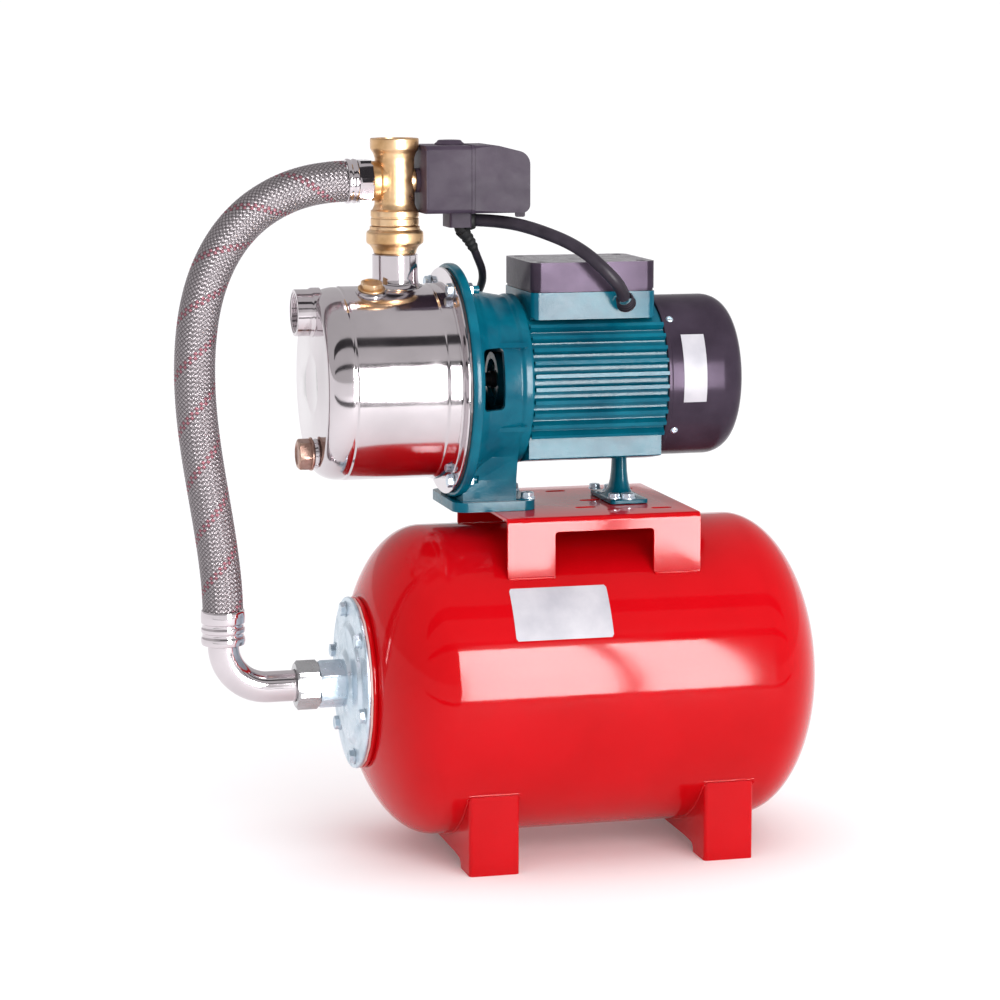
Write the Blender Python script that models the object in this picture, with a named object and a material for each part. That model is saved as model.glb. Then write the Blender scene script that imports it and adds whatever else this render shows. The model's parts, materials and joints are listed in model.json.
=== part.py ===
"""Shallow well jet pump set: a self-priming jet pump and its motor on a 20-litre pressure tank.

Units are metres, +Z is up and the pump's shaft lies along X. Lengths along X are measured from the
middle of the tank; everything hangs on the empty "stand", which moves that middle so that the
origin is under the middle of the whole set.
"""

import math

import bmesh
import bpy
from mathutils import Matrix, Vector

# ---------------------------------------------------------------- driving dimensions
STAND_X = 0.0598          # the tank's middle, from the origin
GAP = 0.0003              # clearance between pieces that touch

TANK_Z = 0.151            # height of the tank's axis
TANK_R = 0.135
TANK_HALF = 0.138         # half the straight part
DOME = 0.069              # depth of each domed end
TANK_WALL = 0.002
TANK_STEPS = 36

FLANGE_FACE = -0.205      # outer face of the tank's flange
FLANGE_R = 0.0745

FOOT_X = (-0.103, 0.106)
FOOT_WIDTH = 0.044
FOOT_DEPTH = 0.108        # half the foot, front to back
SHEET = 0.003

PLATE_X = -0.0015         # middle of the pump's platform
PLATE_HALF = 0.0855
PLATE_DEPTH = 0.090       # half the platform, front to back
PLATE_TOP = 0.303
PLATE_BAND = 0.0125       # height of the front band between the legs
PLATE_LEG = 0.042         # width of each leg

AXIS_Z = 0.412            # height of the pump's shaft
CASING_R = 0.083
CASING_FRONT = -0.236
CASING_FLANGE = -0.1204   # rear face of the casing's flange
CASING_WALL = 0.0016
BOLT_PCD_R = 0.0912       # radius of the circle of casing bolts
BOLT_ANGLE = 27           # degrees from straight up or down
BOLT_R = 0.003
SUCTION_Z = AXIS_Z + 0.0613
NECK_X = -0.163           # axis of the discharge neck and of the brass fittings
NECK_TOP = 0.522
DRAIN_Y = -0.014
DRAIN_Z = AXIS_Z - 0.058
PRIMING_X = -0.189
PRIMING_TILT = 17         # degrees from straight up, towards the front

BRACKET_FACE = -0.118
FRAME_FRONT = -0.058
FRAME_REAR = 0.060
FRAME_R = 0.0685
FIN_R = 0.0750
SHAFT_R = 0.0074
BEARING_R = 0.0175

HOSE_R = 0.0175
PORT_Z = 0.584            # height of the manifold's hose port
ELBOW_X = -0.3152         # axis of the elbow's upright end
ELBOW_BEND = 0.038

SWITCH_X = (-0.142, -0.0515)
SWITCH_Z = (0.5568, 0.614)
SWITCH_HALF = 0.030
SWITCH_JOINT = -0.100     # where the cover meets the base

CORD_R = 0.0035
LEAD_R = 0.0055
COIL_MIDDLE = (0.085, 0.1975)
COIL_R = 0.039            # radius at the middle of the turns

# ---------------------------------------------------------------- finishes: colour, roughness, metallic
RED = ((0.62, 0.012, 0.014), 0.16, 0.0)
TEAL = ((0.004, 0.17, 0.22), 0.35, 0.1)
STAINLESS = ((0.72, 0.70, 0.69), 0.12, 1.0)
STEEL = ((0.48, 0.48, 0.48), 0.35, 1.0)
ZINC = ((0.55, 0.63, 0.70), 0.38, 0.9)
BRASS = ((0.72, 0.42, 0.14), 0.28, 1.0)
PLUM = ((0.075, 0.055, 0.080), 0.45, 0.0)
BLACK = ((0.02, 0.02, 0.022), 0.55, 0.0)
RUBBER = ((0.015, 0.015, 0.016), 0.8, 0.0)
COPPER = ((0.60, 0.25, 0.12), 0.35, 1.0)
CARBON = ((0.06, 0.06, 0.065), 0.5, 0.2)
RESIN = ((0.70, 0.68, 0.60), 0.5, 0.0)
BRAID = ((0.50, 0.47, 0.47), 0.35, 0.8)


# ---------------------------------------------------------------- tools
def clear_scene():
    for old in list(bpy.data.objects):
        bpy.data.objects.remove(old, do_unlink=True)


def make_empty(name, location, parent=None):
    empty = bpy.data.objects.new(name, None)
    empty.location = location
    empty.parent = parent
    bpy.context.collection.objects.link(empty)
    return empty


def make_finish(name, finish):
    colour, roughness, metallic = finish
    material = bpy.data.materials.new(name)
    material.use_nodes = True
    shader = material.node_tree.nodes["Principled BSDF"]
    shader.inputs["Base Color"].default_value = (*colour, 1)
    shader.inputs["Roughness"].default_value = roughness
    shader.inputs["Metallic"].default_value = metallic
    return material


def make_object(name, bm, finish, origin, parent):
    """Turns a bmesh, whose points are measured from origin, into a named piece. Without a finish it is a cutter."""
    bmesh.ops.remove_doubles(bm, verts=bm.verts, dist=1e-6)
    bmesh.ops.recalc_face_normals(bm, faces=bm.faces)
    mesh = bpy.data.meshes.new(name)
    bm.to_mesh(mesh)
    bm.free()
    piece = bpy.data.objects.new(name, mesh)
    piece.location = origin
    piece.parent = parent
    bpy.context.collection.objects.link(piece)
    if finish:
        mesh.materials.append(make_finish(name + "_finish", finish))
        mesh.shade_smooth()
        mesh.set_sharp_from_angle(angle=math.radians(35))
    else:
        piece.hide_render = True
        piece.display_type = "WIRE"
    return piece


def hex_radius(corner, angle):
    """Distance from the middle of a hexagon to its edge, for a hexagon with a corner at angle 0."""
    turned = (angle + math.pi / 6) % (math.pi / 3) - math.pi / 6
    return corner * math.cos(math.pi / 6) / math.cos(abs(turned) - math.pi / 6)


def along_axis(axis, t, radius, angle):
    """A point at height t and at an angle round a local X, Y or Z axis."""
    across, up = radius * math.sin(angle), radius * math.cos(angle)
    return {"X": (t, across, up), "Y": (across, t, up), "Z": (across, up, t)}[axis]


def turn_mesh(bm, outline, axis="X", steps=24, phase=0.0):
    """Turns a closed outline of (height, radius) points, or (height, radius, "hex"), about an axis."""
    rings = []
    for point in outline:
        t, radius = point[:2]
        if radius < 1e-7:
            rings.append([bm.verts.new(along_axis(axis, t, 0, 0))])
            continue
        ring = []
        for step in range(steps):
            angle = 2 * math.pi * step / steps
            reach = hex_radius(radius, angle) if len(point) == 3 else radius
            ring.append(bm.verts.new(along_axis(axis, t, reach, angle + phase)))
        rings.append(ring)
    for first, second in zip(rings, rings[1:] + rings[:1]):
        if len(first) == 1 and len(second) == 1:
            continue
        for step in range(steps):
            after = (step + 1) % steps
            corners = [first[step % len(first)], first[after % len(first)]]
            corners += [second[after % len(second)], second[step % len(second)]]
            bm.faces.new(list(dict.fromkeys(corners)))


def turned(name, outline, finish, origin, parent, axis="X", steps=24, phase=0.0):
    bm = bmesh.new()
    turn_mesh(bm, outline, axis, steps, phase)
    return make_object(name, bm, finish, origin, parent)


def add_box(bm, low, high):
    corners = bmesh.ops.create_cube(bm, size=1)["verts"]
    for vert in corners:
        for i in range(3):
            vert.co[i] = low[i] if vert.co[i] < 0 else high[i]
    return corners


def boxes(name, extents, finish, origin, parent):
    """One or more boxes, each given as (low corner, high corner), as one piece or cutter."""
    bm = bmesh.new()
    for low, high in extents:
        add_box(bm, low, high)
    return make_object(name, bm, finish, origin, parent)


def add_prism(bm, outline, axis, start, end):
    """A straight bar whose section is the closed outline, given as the two coordinates across the axis."""
    place = {
        "X": lambda t, a, b: (t, a, b),
        "Y": lambda t, a, b: (a, t, b),
        "Z": lambda t, a, b: (a, b, t),
    }[axis]
    first = [bm.verts.new(place(start, a, b)) for a, b in outline]
    last = [bm.verts.new(place(end, a, b)) for a, b in outline]
    bm.faces.new(first)
    bm.faces.new(last)
    for i in range(len(outline)):
        j = (i + 1) % len(outline)
        bm.faces.new((first[i], first[j], last[j], last[i]))


def prism(name, outline, axis, start, end, finish, origin, parent):
    bm = bmesh.new()
    add_prism(bm, outline, axis, start, end)
    return make_object(name, bm, finish, origin, parent)


def rounded_rectangle(low, high, radius, corners=(1, 1, 1, 1), steps=3):
    """Outline of a rectangle; corners picks, from the lower left one round, which are rounded."""
    (x0, y0), (x1, y1) = low, high
    middles = [(x0, y0, 180), (x1, y0, 270), (x1, y1, 0), (x0, y1, 90)]
    outline = []
    for rounded, (x, y, turn) in zip(corners, middles):
        if not rounded:
            outline.append((x, y))
            continue
        cx = x + (radius if x == x0 else -radius)
        cy = y + (radius if y == y0 else -radius)
        for i in range(steps + 1):
            a = math.radians(turn + 90 * i / steps)
            outline.append((cx + radius * math.cos(a), cy + radius * math.sin(a)))
    return outline


def arc(middle, size, start, end, steps):
    """Points of an elliptical arc from one angle to another, in degrees."""
    angles = [math.radians(start + (end - start) * i / steps) for i in range(steps + 1)]
    return [(middle[0] + size[0] * math.cos(a), middle[1] + size[1] * math.sin(a)) for a in angles]


def combine(piece, other, operation):
    modifier = piece.modifiers.new(operation.title() + "_" + other.name, "BOOLEAN")
    modifier.operation = operation
    modifier.object = other


def cut(piece, cutter):
    combine(piece, cutter, "DIFFERENCE")


def join(piece, addition):
    combine(piece, addition, "UNION")


def cylinder(name, radius, axis, start, end, origin, parent, steps=16, phase=0.0):
    """A round cutter or addition from start to end along its axis."""
    outline = [(start, 0), (start, radius), (end, radius), (end, 0)]
    return turned(name, outline, None, origin, parent, axis, steps, phase)


def aim(piece, direction):
    """Points the piece's local Z axis along a direction."""
    piece.rotation_euler = Vector(direction).to_track_quat("Z", "Y").to_euler()


def smooth_route(points, spacing):
    """Points close to spacing apart on a smooth curve through the given points (Catmull-Rom)."""
    route = [Vector(p) for p in points]
    ends = [2 * route[0] - route[1]] + route + [2 * route[-1] - route[-2]]
    fine = []
    for before, a, b, after in zip(ends, ends[1:], ends[2:], ends[3:]):
        for i in range(24):
            t = i / 24
            turn = (b - before) * t + (2 * before - 5 * a + 4 * b - after) * t * t
            turn += (3 * a - before - 3 * b + after) * t ** 3
            fine.append(a + turn / 2)
    fine.append(route[-1])
    lengths = [0.0]
    for a, b in zip(fine, fine[1:]):
        lengths.append(lengths[-1] + (b - a).length)
    count = max(2, round(lengths[-1] / spacing))
    even = []
    index = 0
    for i in range(count + 1):
        target = lengths[-1] * i / count
        while index < len(fine) - 2 and lengths[index + 1] < target:
            index += 1
        part = (target - lengths[index]) / max(lengths[index + 1] - lengths[index], 1e-9)
        even.append(fine[index].lerp(fine[index + 1], min(part, 1)))
    return even


def cord(name, points, radius, resolution, spacing, finish, parent):
    """A plain round tube along a smooth curve through the points."""
    curve = bpy.data.curves.new(name, "CURVE")
    curve.dimensions = "3D"
    curve.bevel_depth = radius
    curve.bevel_resolution = resolution
    curve.use_fill_caps = True
    route = smooth_route(points, spacing)
    spline = curve.splines.new("POLY")
    spline.points.add(len(route) - 1)
    for target, point in zip(spline.points, route):
        target.co = (*point, 1)
        target.radius = 1
    piece = bpy.data.objects.new(name, curve)
    piece.parent = parent
    bpy.context.collection.objects.link(piece)
    curve.materials.append(make_finish(name + "_finish", finish))
    return piece


# ---------------------------------------------------------------- pressure tank
def dome_points(radius, half, depth, start, end, steps, side):
    """Outline of a domed end from one angle to another; 0 degrees is its tip. side is +1 or -1."""
    points = []
    for i in range(steps + 1):
        a = math.radians(start + (end - start) * i / steps)
        points.append((side * (half + depth * math.cos(a)), radius * math.sin(a)))
    return points


def build_tank(stand):
    axis = (0, 0, TANK_Z)
    inner = TANK_R - TANK_WALL
    ring_back = FLANGE_FACE + 0.0073
    ring_face = FLANGE_FACE + 0.0053
    outline = dome_points(TANK_R, TANK_HALF, DOME, 2.9, 90, 6, 1)
    outline += dome_points(TANK_R, TANK_HALF, DOME, 90, 30.1, 4, -1)
    outline += [(ring_back, FLANGE_R), (ring_face, FLANGE_R), (ring_face, 0.052)]
    outline += [(ring_face + 0.0037, 0.052)]
    outline += dome_points(inner, TANK_HALF, DOME - TANK_WALL, 30.0, 90, 3, -1)
    outline += dome_points(inner, TANK_HALF, DOME - TANK_WALL, 90, 2.9, 4, 1)
    turned("tank_shell", outline, RED, axis, stand, steps=TANK_STEPS)

    lip = FLANGE_FACE + 0.0033
    bag = [(lip, 0.0495), (lip, 0.0742), (lip + 0.0017, 0.0742), (lip + 0.0017, 0.0515)]
    bag += [(-0.190, 0.0515), (-0.168, 0.080), (-0.140, 0.108), (-0.105, 0.124), (0.105, 0.124)]
    bag += [(0.140, 0.108), (0.165, 0.070), (0.175, 0), (0.173, 0), (0.1635, 0.069)]
    bag += [(0.139, 0.1062), (0.1045, 0.122), (-0.1045, 0.122), (-0.139, 0.1062)]
    bag += [(-0.1665, 0.079), (-0.188, 0.0495)]
    turned("tank_membrane", bag, RUBBER, axis, stand, steps=20)

    back = FLANGE_FACE + 0.003
    flange = [(back, 0.0130), (back, FLANGE_R), (FLANGE_FACE + 0.0008, FLANGE_R)]
    flange += [(FLANGE_FACE, FLANGE_R - 0.0008), (FLANGE_FACE, 0.050), (FLANGE_FACE - 0.0035, 0.044)]
    flange += [(FLANGE_FACE - 0.0035, 0.029), (FLANGE_FACE - 0.007, 0.0235)]
    flange += [(FLANGE_FACE - 0.007, 0.0210, "hex"), (-0.2330, 0.0210, "hex"), (-0.2330, 0.0150)]
    flange += [(-0.2485, 0.0150), (-0.2485, 0.0130)]
    turned("tank_flange", flange, ZINC, axis, stand, steps=30)

    valve = [(0.196, 0), (0.196, 0.0055), (0.2070, 0.0055), (0.2070, 0.0048), (0.2095, 0.0048), (0.2095, 0)]
    turned("air_valve", valve, BRASS, axis, stand, steps=12)
    cap = [(0.2098, 0), (0.2098, 0.0054), (0.2074, 0.0054), (0.2074, 0.0085), (0.2110, 0.0085)]
    cap += [(0.2148, 0.0070), (0.2148, 0)]
    turned("air_valve_cap", cap, BLACK, axis, stand, steps=16)


def tank_cutter(name, clearance, stand):
    """The tank's round, a little larger, for pieces that sit on it."""
    return cylinder(name, TANK_R + clearance, "X", -0.14, 0.14, (0, 0, TANK_Z), stand, TANK_STEPS)


def build_feet(stand):
    """Each foot is a pressed saddle, open underneath, standing on a toe at the front and one at the back."""
    inside = FOOT_WIDTH / 2 - SHEET
    deep = FOOT_DEPTH - SHEET
    round_tank = tank_cutter("foot_saddle_cutter", 0.0004, stand)
    for name, x in zip(("left_foot", "right_foot"), FOOT_X):
        block = [((-FOOT_WIDTH / 2, -FOOT_DEPTH, 0), (FOOT_WIDTH / 2, FOOT_DEPTH, 0.079))]
        foot = boxes(name, block, RED, (x, 0, 0), stand)
        hollow = [((-inside, -deep, -0.01), (inside, deep, 0.09))]
        cut(foot, boxes(name + "_hollow_cutter", hollow, None, (x, 0, 0), stand))
        arch = [(-0.078, -0.01), (0.078, -0.01), (0.070, 0.006), (0.052, 0.009), (-0.052, 0.009), (-0.070, 0.006)]
        arch_cutter = prism(name + "_arch_cutter", arch, "X", -0.03, 0.03, None, (x, 0, 0), stand)
        cut(foot, arch_cutter)
        cut(foot, round_tank)


def build_platform(stand):
    """Bent sheet: a flat top, and front and back flanges that run down to the tank as two legs each."""
    top, depth = PLATE_TOP, PLATE_DEPTH
    low = 0.236
    bend = 0.005
    outer = [(-depth, low)] + arc((-depth + bend, top - bend), (bend, bend), 180, 90, 4)
    outer += arc((depth - bend, top - bend), (bend, bend), 90, 0, 4) + [(depth, low)]
    inner_bend = bend - SHEET
    inner = [(depth - SHEET, low)] + arc((depth - bend, top - bend), (inner_bend, inner_bend), 0, 90, 3)
    inner += arc((-depth + bend, top - bend), (inner_bend, inner_bend), 90, 180, 3) + [(-depth + SHEET, low)]
    plate = prism("pump_platform", outer + inner, "X", -PLATE_HALF, PLATE_HALF, RED, (PLATE_X, 0, 0), stand)
    opening = PLATE_HALF - PLATE_LEG
    window = [((-opening, -0.12, low - 0.01), (opening, 0.12, top - PLATE_BAND))]
    cut(plate, boxes("platform_window_cutter", window, None, (PLATE_X, 0, 0), stand))
    cut(plate, tank_cutter("platform_saddle_cutter", 0.0005, stand))


# ---------------------------------------------------------------- pump casing and hydraulics
def bolt_places():
    """The four casing bolts, as (y, z) from the shaft, in two pairs above and below."""
    a = math.radians(BOLT_ANGLE)
    side, rise = BOLT_PCD_R * math.sin(a), BOLT_PCD_R * math.cos(a)
    return [(-side, rise), (side, rise), (side, -rise), (-side, -rise)]


def bolt_hole_cutter(name, stand):
    bm = bmesh.new()
    for y, z in bolt_places():
        start = len(bm.verts)
        turn_mesh(bm, [(-0.13, 0), (-0.13, BOLT_R + 0.0003), (-0.10, BOLT_R + 0.0003), (-0.10, 0)], steps=10)
        bm.verts.ensure_lookup_table()
        bmesh.ops.translate(bm, vec=(0, y, z), verts=bm.verts[start:])
    return make_object(name, bm, None, (0, 0, AXIS_Z), stand)


def build_casing(stand):
    axis = (0, 0, AXIS_Z)
    inner_r = CASING_R - CASING_WALL
    inner_front = CASING_FRONT + 0.002
    flange_front = CASING_FLANGE - 0.002
    outline = [(CASING_FRONT, 0)] + arc((-0.212, 0.070), (0.024, 0.013), 180, 90, 5)
    outline += [(-0.136, CASING_R), (-0.1345, CASING_R + 0.0012), (-0.124, CASING_R + 0.0012)]
    outline += [(flange_front, CASING_R + 0.002), (flange_front, 0.0975), (CASING_FLANGE, 0.0975)]
    outline += [(CASING_FLANGE, inner_r)] + arc((-0.212, 0.069), (0.022, inner_r - 0.069), 90, 180, 4)
    outline += [(inner_front, 0)]
    casing = turned("pump_casing", outline, STAINLESS, axis, stand, steps=36)

    neck = [(0.4930, 0), (0.4930, 0.0215), (0.4975, 0.0195), (NECK_TOP, 0.0195), (NECK_TOP, 0)]
    join(casing, turned("neck_addition", neck, None, (NECK_X, 0, 0), stand, "Z", 20, 0.07))
    join(casing, cylinder("suction_addition", 0.0200, "X", -0.251, -0.2290, (0, 0, SUCTION_Z), stand, 20, 0.05))
    drain = (0, DRAIN_Y, DRAIN_Z)
    join(casing, cylinder("drain_addition", 0.0120, "X", -0.2390, -0.2350, drain, stand, 16, 0.04))
    priming = cylinder("priming_addition", 0.0118, "Z", CASING_R - 0.0018, CASING_R + 0.0025, (PRIMING_X, 0, AXIS_Z), stand)
    aim(priming, priming_direction())
    join(casing, priming)

    bores = bmesh.new()
    turn_mesh(bores, [(0.480, 0), (0.480, 0.0125), (0.5080, 0.0125), (0.5080, 0.0169), (0.53, 0.0169), (0.53, 0)], "Z", 20, 0.07)
    cut(casing, make_object("neck_bore_cutter", bores, None, (NECK_X, 0, 0), stand))
    suction = [(-0.26, 0), (-0.26, 0.0168), (-0.2400, 0.0168), (-0.2400, 0.0125), (-0.225, 0.0125), (-0.225, 0)]
    cut(casing, turned("suction_bore_cutter", suction, None, (0, 0, SUCTION_Z), stand, "X", 20, 0.05))
    cut(casing, cylinder("drain_bore_cutter", 0.0068, "X", -0.245, -0.225, drain, stand, 16, 0.04))
    priming_bore = cylinder("priming_bore_cutter", 0.0068, "Z", 0.070, 0.095, (PRIMING_X, 0, AXIS_Z), stand)
    aim(priming_bore, priming_direction())
    cut(casing, priming_bore)
    cut(casing, bolt_hole_cutter("casing_bolt_hole_cutter", stand))

    plug = [(-0.2325, 0), (-0.2325, 0.0064), (-0.2393, 0.0064), (-0.2393, 0.0142), (-0.2412, 0.0142)]
    plug += [(-0.2412, 0.0136, "hex"), (-0.2512, 0.0136, "hex"), (-0.2526, 0.0110), (-0.2526, 0)]
    turned("drain_plug", plug, COPPER, drain, stand, steps=24)
    top = CASING_R + 0.0028
    filler = [(CASING_R - 0.003, 0), (CASING_R - 0.003, 0.0064), (top, 0.0064), (top, 0.0112), (top + 0.0015, 0.0112)]
    filler += [(top + 0.0015, 0.0098, "hex"), (top + 0.0065, 0.0098, "hex"), (top + 0.0065, 0)]
    priming_plug = turned("priming_plug", filler, BRASS, (PRIMING_X, 0, AXIS_Z), stand, "Z", 12)
    aim(priming_plug, priming_direction())

    for number, (y, z) in enumerate(bolt_places(), 1):
        under = flange_front - GAP
        bolt = [(under - 0.0045, 0), (under - 0.0045, 0.0058, "hex"), (under, 0.0058, "hex")]
        bolt += [(under, BOLT_R), (-0.1045, BOLT_R), (-0.1045, 0)]
        turned(f"casing_bolt_{number}", bolt, ZINC, (0, y, AXIS_Z + z), stand, steps=12)


def priming_direction():
    a = math.radians(PRIMING_TILT)
    return (0, -math.sin(a), math.cos(a))


def build_hydraulics(stand, rotor):
    """What the casing holds: O-ring, jet ejector, diffuser, seal plate, seal and impeller."""
    axis = (0, 0, AXIS_Z)
    plate = [(CASING_FLANGE + GAP, 0.0970), (BRACKET_FACE - GAP, 0.0970), (BRACKET_FACE - GAP, 0.0130)]
    plate += [(-0.1255, 0.0130), (-0.1255, 0.0770), (CASING_FLANGE + GAP, 0.0770)]
    seal_plate = turned("seal_plate", plate, STAINLESS, axis, stand, steps=36)
    cut(seal_plate, bolt_hole_cutter("plate_bolt_hole_cutter", stand))
    ring = arc((-0.1222, 0.0792), (0.0016, 0.0016), 0, 300, 5)
    turned("casing_oring", ring, RUBBER, axis, stand, steps=24)

    venturi = [(-0.2290, 0.0140), (-0.2290, 0.0170), (-0.2100, 0.0170), (-0.2000, 0.0110), (-0.1850, 0.0110)]
    venturi += [(-0.1630, 0.0180), (-0.1630, 0.0160), (-0.1850, 0.0075), (-0.2000, 0.0060), (-0.2100, 0.0140)]
    ejector = turned("ejector", venturi, CARBON, axis, stand, steps=20)
    duct = [((-0.2290, -0.013, AXIS_Z + 0.0145), (-0.2130, 0.013, 0.4858))]
    join(ejector, boxes("duct_addition", duct, None, (0, 0, 0), stand))
    join(ejector, cylinder("port_addition", 0.0118, "X", -0.2350, -0.2250, (0, 0, SUCTION_Z), stand, 20))
    cavity = [((-0.2270, -0.011, AXIS_Z + 0.001), (-0.2150, 0.011, 0.4838))]
    cut(ejector, boxes("duct_cutter", cavity, None, (0, 0, 0), stand))
    cut(ejector, cylinder("port_bore_cutter", 0.0100, "X", -0.24, -0.220, (0, 0, SUCTION_Z), stand, 20))

    cup = [(-0.1660, 0.0184), (-0.1660, 0.0206), (-0.1575, 0.0206), (-0.1575, 0.0700), (-0.1275, 0.0700)]
    cup += [(-0.1275, 0.0682), (-0.1557, 0.0682), (-0.1557, 0.0184)]
    diffuser = turned("diffuser", cup, CARBON, axis, stand, steps=24)
    notches = []
    bm = bmesh.new()
    for turn in range(3):
        verts = add_box(bm, (-0.1450, -0.012, -0.09), (-0.1200, 0.012, 0.09))
        notches.append(verts)
        bmesh.ops.rotate(bm, verts=verts, cent=(0, 0, 0), matrix=rotation_x(60 * turn))
    cut(diffuser, make_object("diffuser_cutter", bm, None, axis, stand))

    hub = [(-0.1500, 0.0063), (-0.1500, 0.0115), (-0.1385, 0.0140), (-0.1370, 0.0630), (-0.1350, 0.0630)]
    hub += [(-0.1350, 0.0110), (-0.1340, 0.0110), (-0.1340, 0.0063)]
    impeller = turned("impeller", hub, BRASS, (0, 0, 0), rotor, steps=20)
    shroud = [(-0.1540, 0.0150), (-0.1540, 0.0166), (-0.1485, 0.0166), (-0.1475, 0.0630), (-0.1460, 0.0630)]
    shroud += [(-0.1466, 0.0150)]
    vanes = bmesh.new()
    for blade in range(6):
        start = len(vanes.verts)
        add_prism(vanes, vane_outline(0.0168, 0.0622, 55, 0.0018), "X", -0.1468, -0.1365)
        vanes.verts.ensure_lookup_table()
        bmesh.ops.rotate(vanes, verts=vanes.verts[start:], cent=(0, 0, 0), matrix=rotation_x(60 * blade))
    join(impeller, make_object("vane_addition", vanes, None, (0, 0, 0), rotor))
    join(impeller, turned("shroud_addition", shroud, None, (0, 0, 0), rotor, steps=20))
    nut = [(-0.1595, 0.0040), (-0.1595, 0.0080, "hex"), (-0.1508, 0.0080, "hex"), (-0.1508, 0.0040)]
    turned("impeller_nut", nut, STEEL, (0, 0, 0), rotor, steps=12)
    turning = [(-0.1336, 0.0063), (-0.1336, 0.0112), (-0.1262, 0.0112), (-0.1262, 0.0063)]
    turned("seal_rotor", turning, CARBON, (0, 0, 0), rotor, steps=20)
    seat = [(-0.1258, 0.0068), (-0.1258, 0.0126), (-0.1188, 0.0126), (-0.1188, 0.0068)]
    turned("seal_seat", seat, RESIN, axis, stand, steps=24)


def rotation_x(degrees):
    return Matrix.Rotation(math.radians(degrees), 3, "X")


def vane_outline(inner, outer, sweep, thickness):
    """Section of a backward-curved vane, as (y, z) from the shaft."""
    sides = ([], [])
    for i in range(5):
        share = i / 4
        radius = inner + (outer - inner) * share
        angle = math.radians(sweep * share ** 0.8)
        for side, offset in zip(sides, (-thickness / 2, thickness / 2)):
            a = angle + offset / radius
            side.append((radius * math.sin(a), radius * math.cos(a)))
    return sides[0] + sides[1][::-1]


# ---------------------------------------------------------------- motor
def build_bracket(stand):
    """Cast lantern between pump and motor, with its foot: flange, windows, bearing seat, leg and sole."""
    axis = (0, 0, AXIS_Z)
    rear = FRAME_FRONT - GAP
    outer = [(BRACKET_FACE, 0), (BRACKET_FACE, 0.1010), (-0.1100, 0.1010), (-0.1085, 0.0915)]
    outer += [(-0.0985, 0.0815), (-0.0860, 0.0755), (-0.0660, 0.0725), (rear, 0.0725), (rear, 0)]
    bracket = turned("motor_bracket", outer, TEAL, axis, stand, steps=36)
    leg = [(-0.042, PLATE_TOP + 0.004), (0.042, PLATE_TOP + 0.004), (0.050, 0.370), (-0.050, 0.370)]
    join(bracket, prism("leg_addition", leg, "X", -0.1135, -0.0665, None, (0, 0, 0), stand))
    sole = rounded_rectangle((-0.1220, -0.047), (-0.0490, 0.047), 0.012)
    join(bracket, prism("sole_addition", sole, "Z", PLATE_TOP + GAP, PLATE_TOP + 0.0085, None, (0, 0, 0), stand))
    cavity = [(-0.13, 0), (-0.13, 0.0800), (-0.1085, 0.0800), (-0.0985, 0.0745), (-0.0860, 0.0690), (-0.0665, 0.0655)]
    cavity += [(-0.0665, 0.0235), (-0.0780, 0.0235), (-0.0780, BEARING_R + GAP), (-0.05, BEARING_R + GAP), (-0.05, 0)]
    cut(bracket, turned("bracket_cavity_cutter", cavity, None, axis, stand, steps=32))
    window = [((-0.1055, -0.12, AXIS_Z - 0.018), (-0.0865, 0.12, AXIS_Z + 0.034))]
    cut(bracket, boxes("bracket_window_cutter", window, None, (0, 0, 0), stand))
    cut(bracket, bolt_hole_cutter("bracket_bolt_hole_cutter", stand))


def bearing(name, start, end, stand):
    ring = [(start, SHAFT_R + 0.0004), (start, BEARING_R), (end, BEARING_R), (end, SHAFT_R + 0.0004)]
    turned(name, ring, STEEL, (0, 0, AXIS_Z), stand, steps=24)


KEEL = (141.2, 0.0822)    # lower corner of the keel under the motor frame, as angle and radius


def fin_outline():
    """Section of the motor frame as (y, z): fins on both flanks, smooth on top, a flat keel underneath."""
    fins, pitch = 10, 8.7
    first = 48
    outline = []
    for side in (1, -1):
        half = [(0, FRAME_R), (16, FRAME_R), (32, FRAME_R)]
        for fin in range(fins):
            middle = first + fin * pitch
            half += [(middle - 2.4, FRAME_R), (middle - 1.1, FIN_R), (middle + 1.1, FIN_R), (middle + 2.4, FRAME_R)]
        half += [(131.5, FRAME_R), KEEL, (164.1, 0.0731)]
        if side == 1:
            outline += half + [(180, 0.0703)]
        else:
            outline += [(360 - angle, radius) for angle, radius in half[:0:-1]]
    return [(r * math.sin(math.radians(a)), r * math.cos(math.radians(a))) for a, r in outline]


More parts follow.
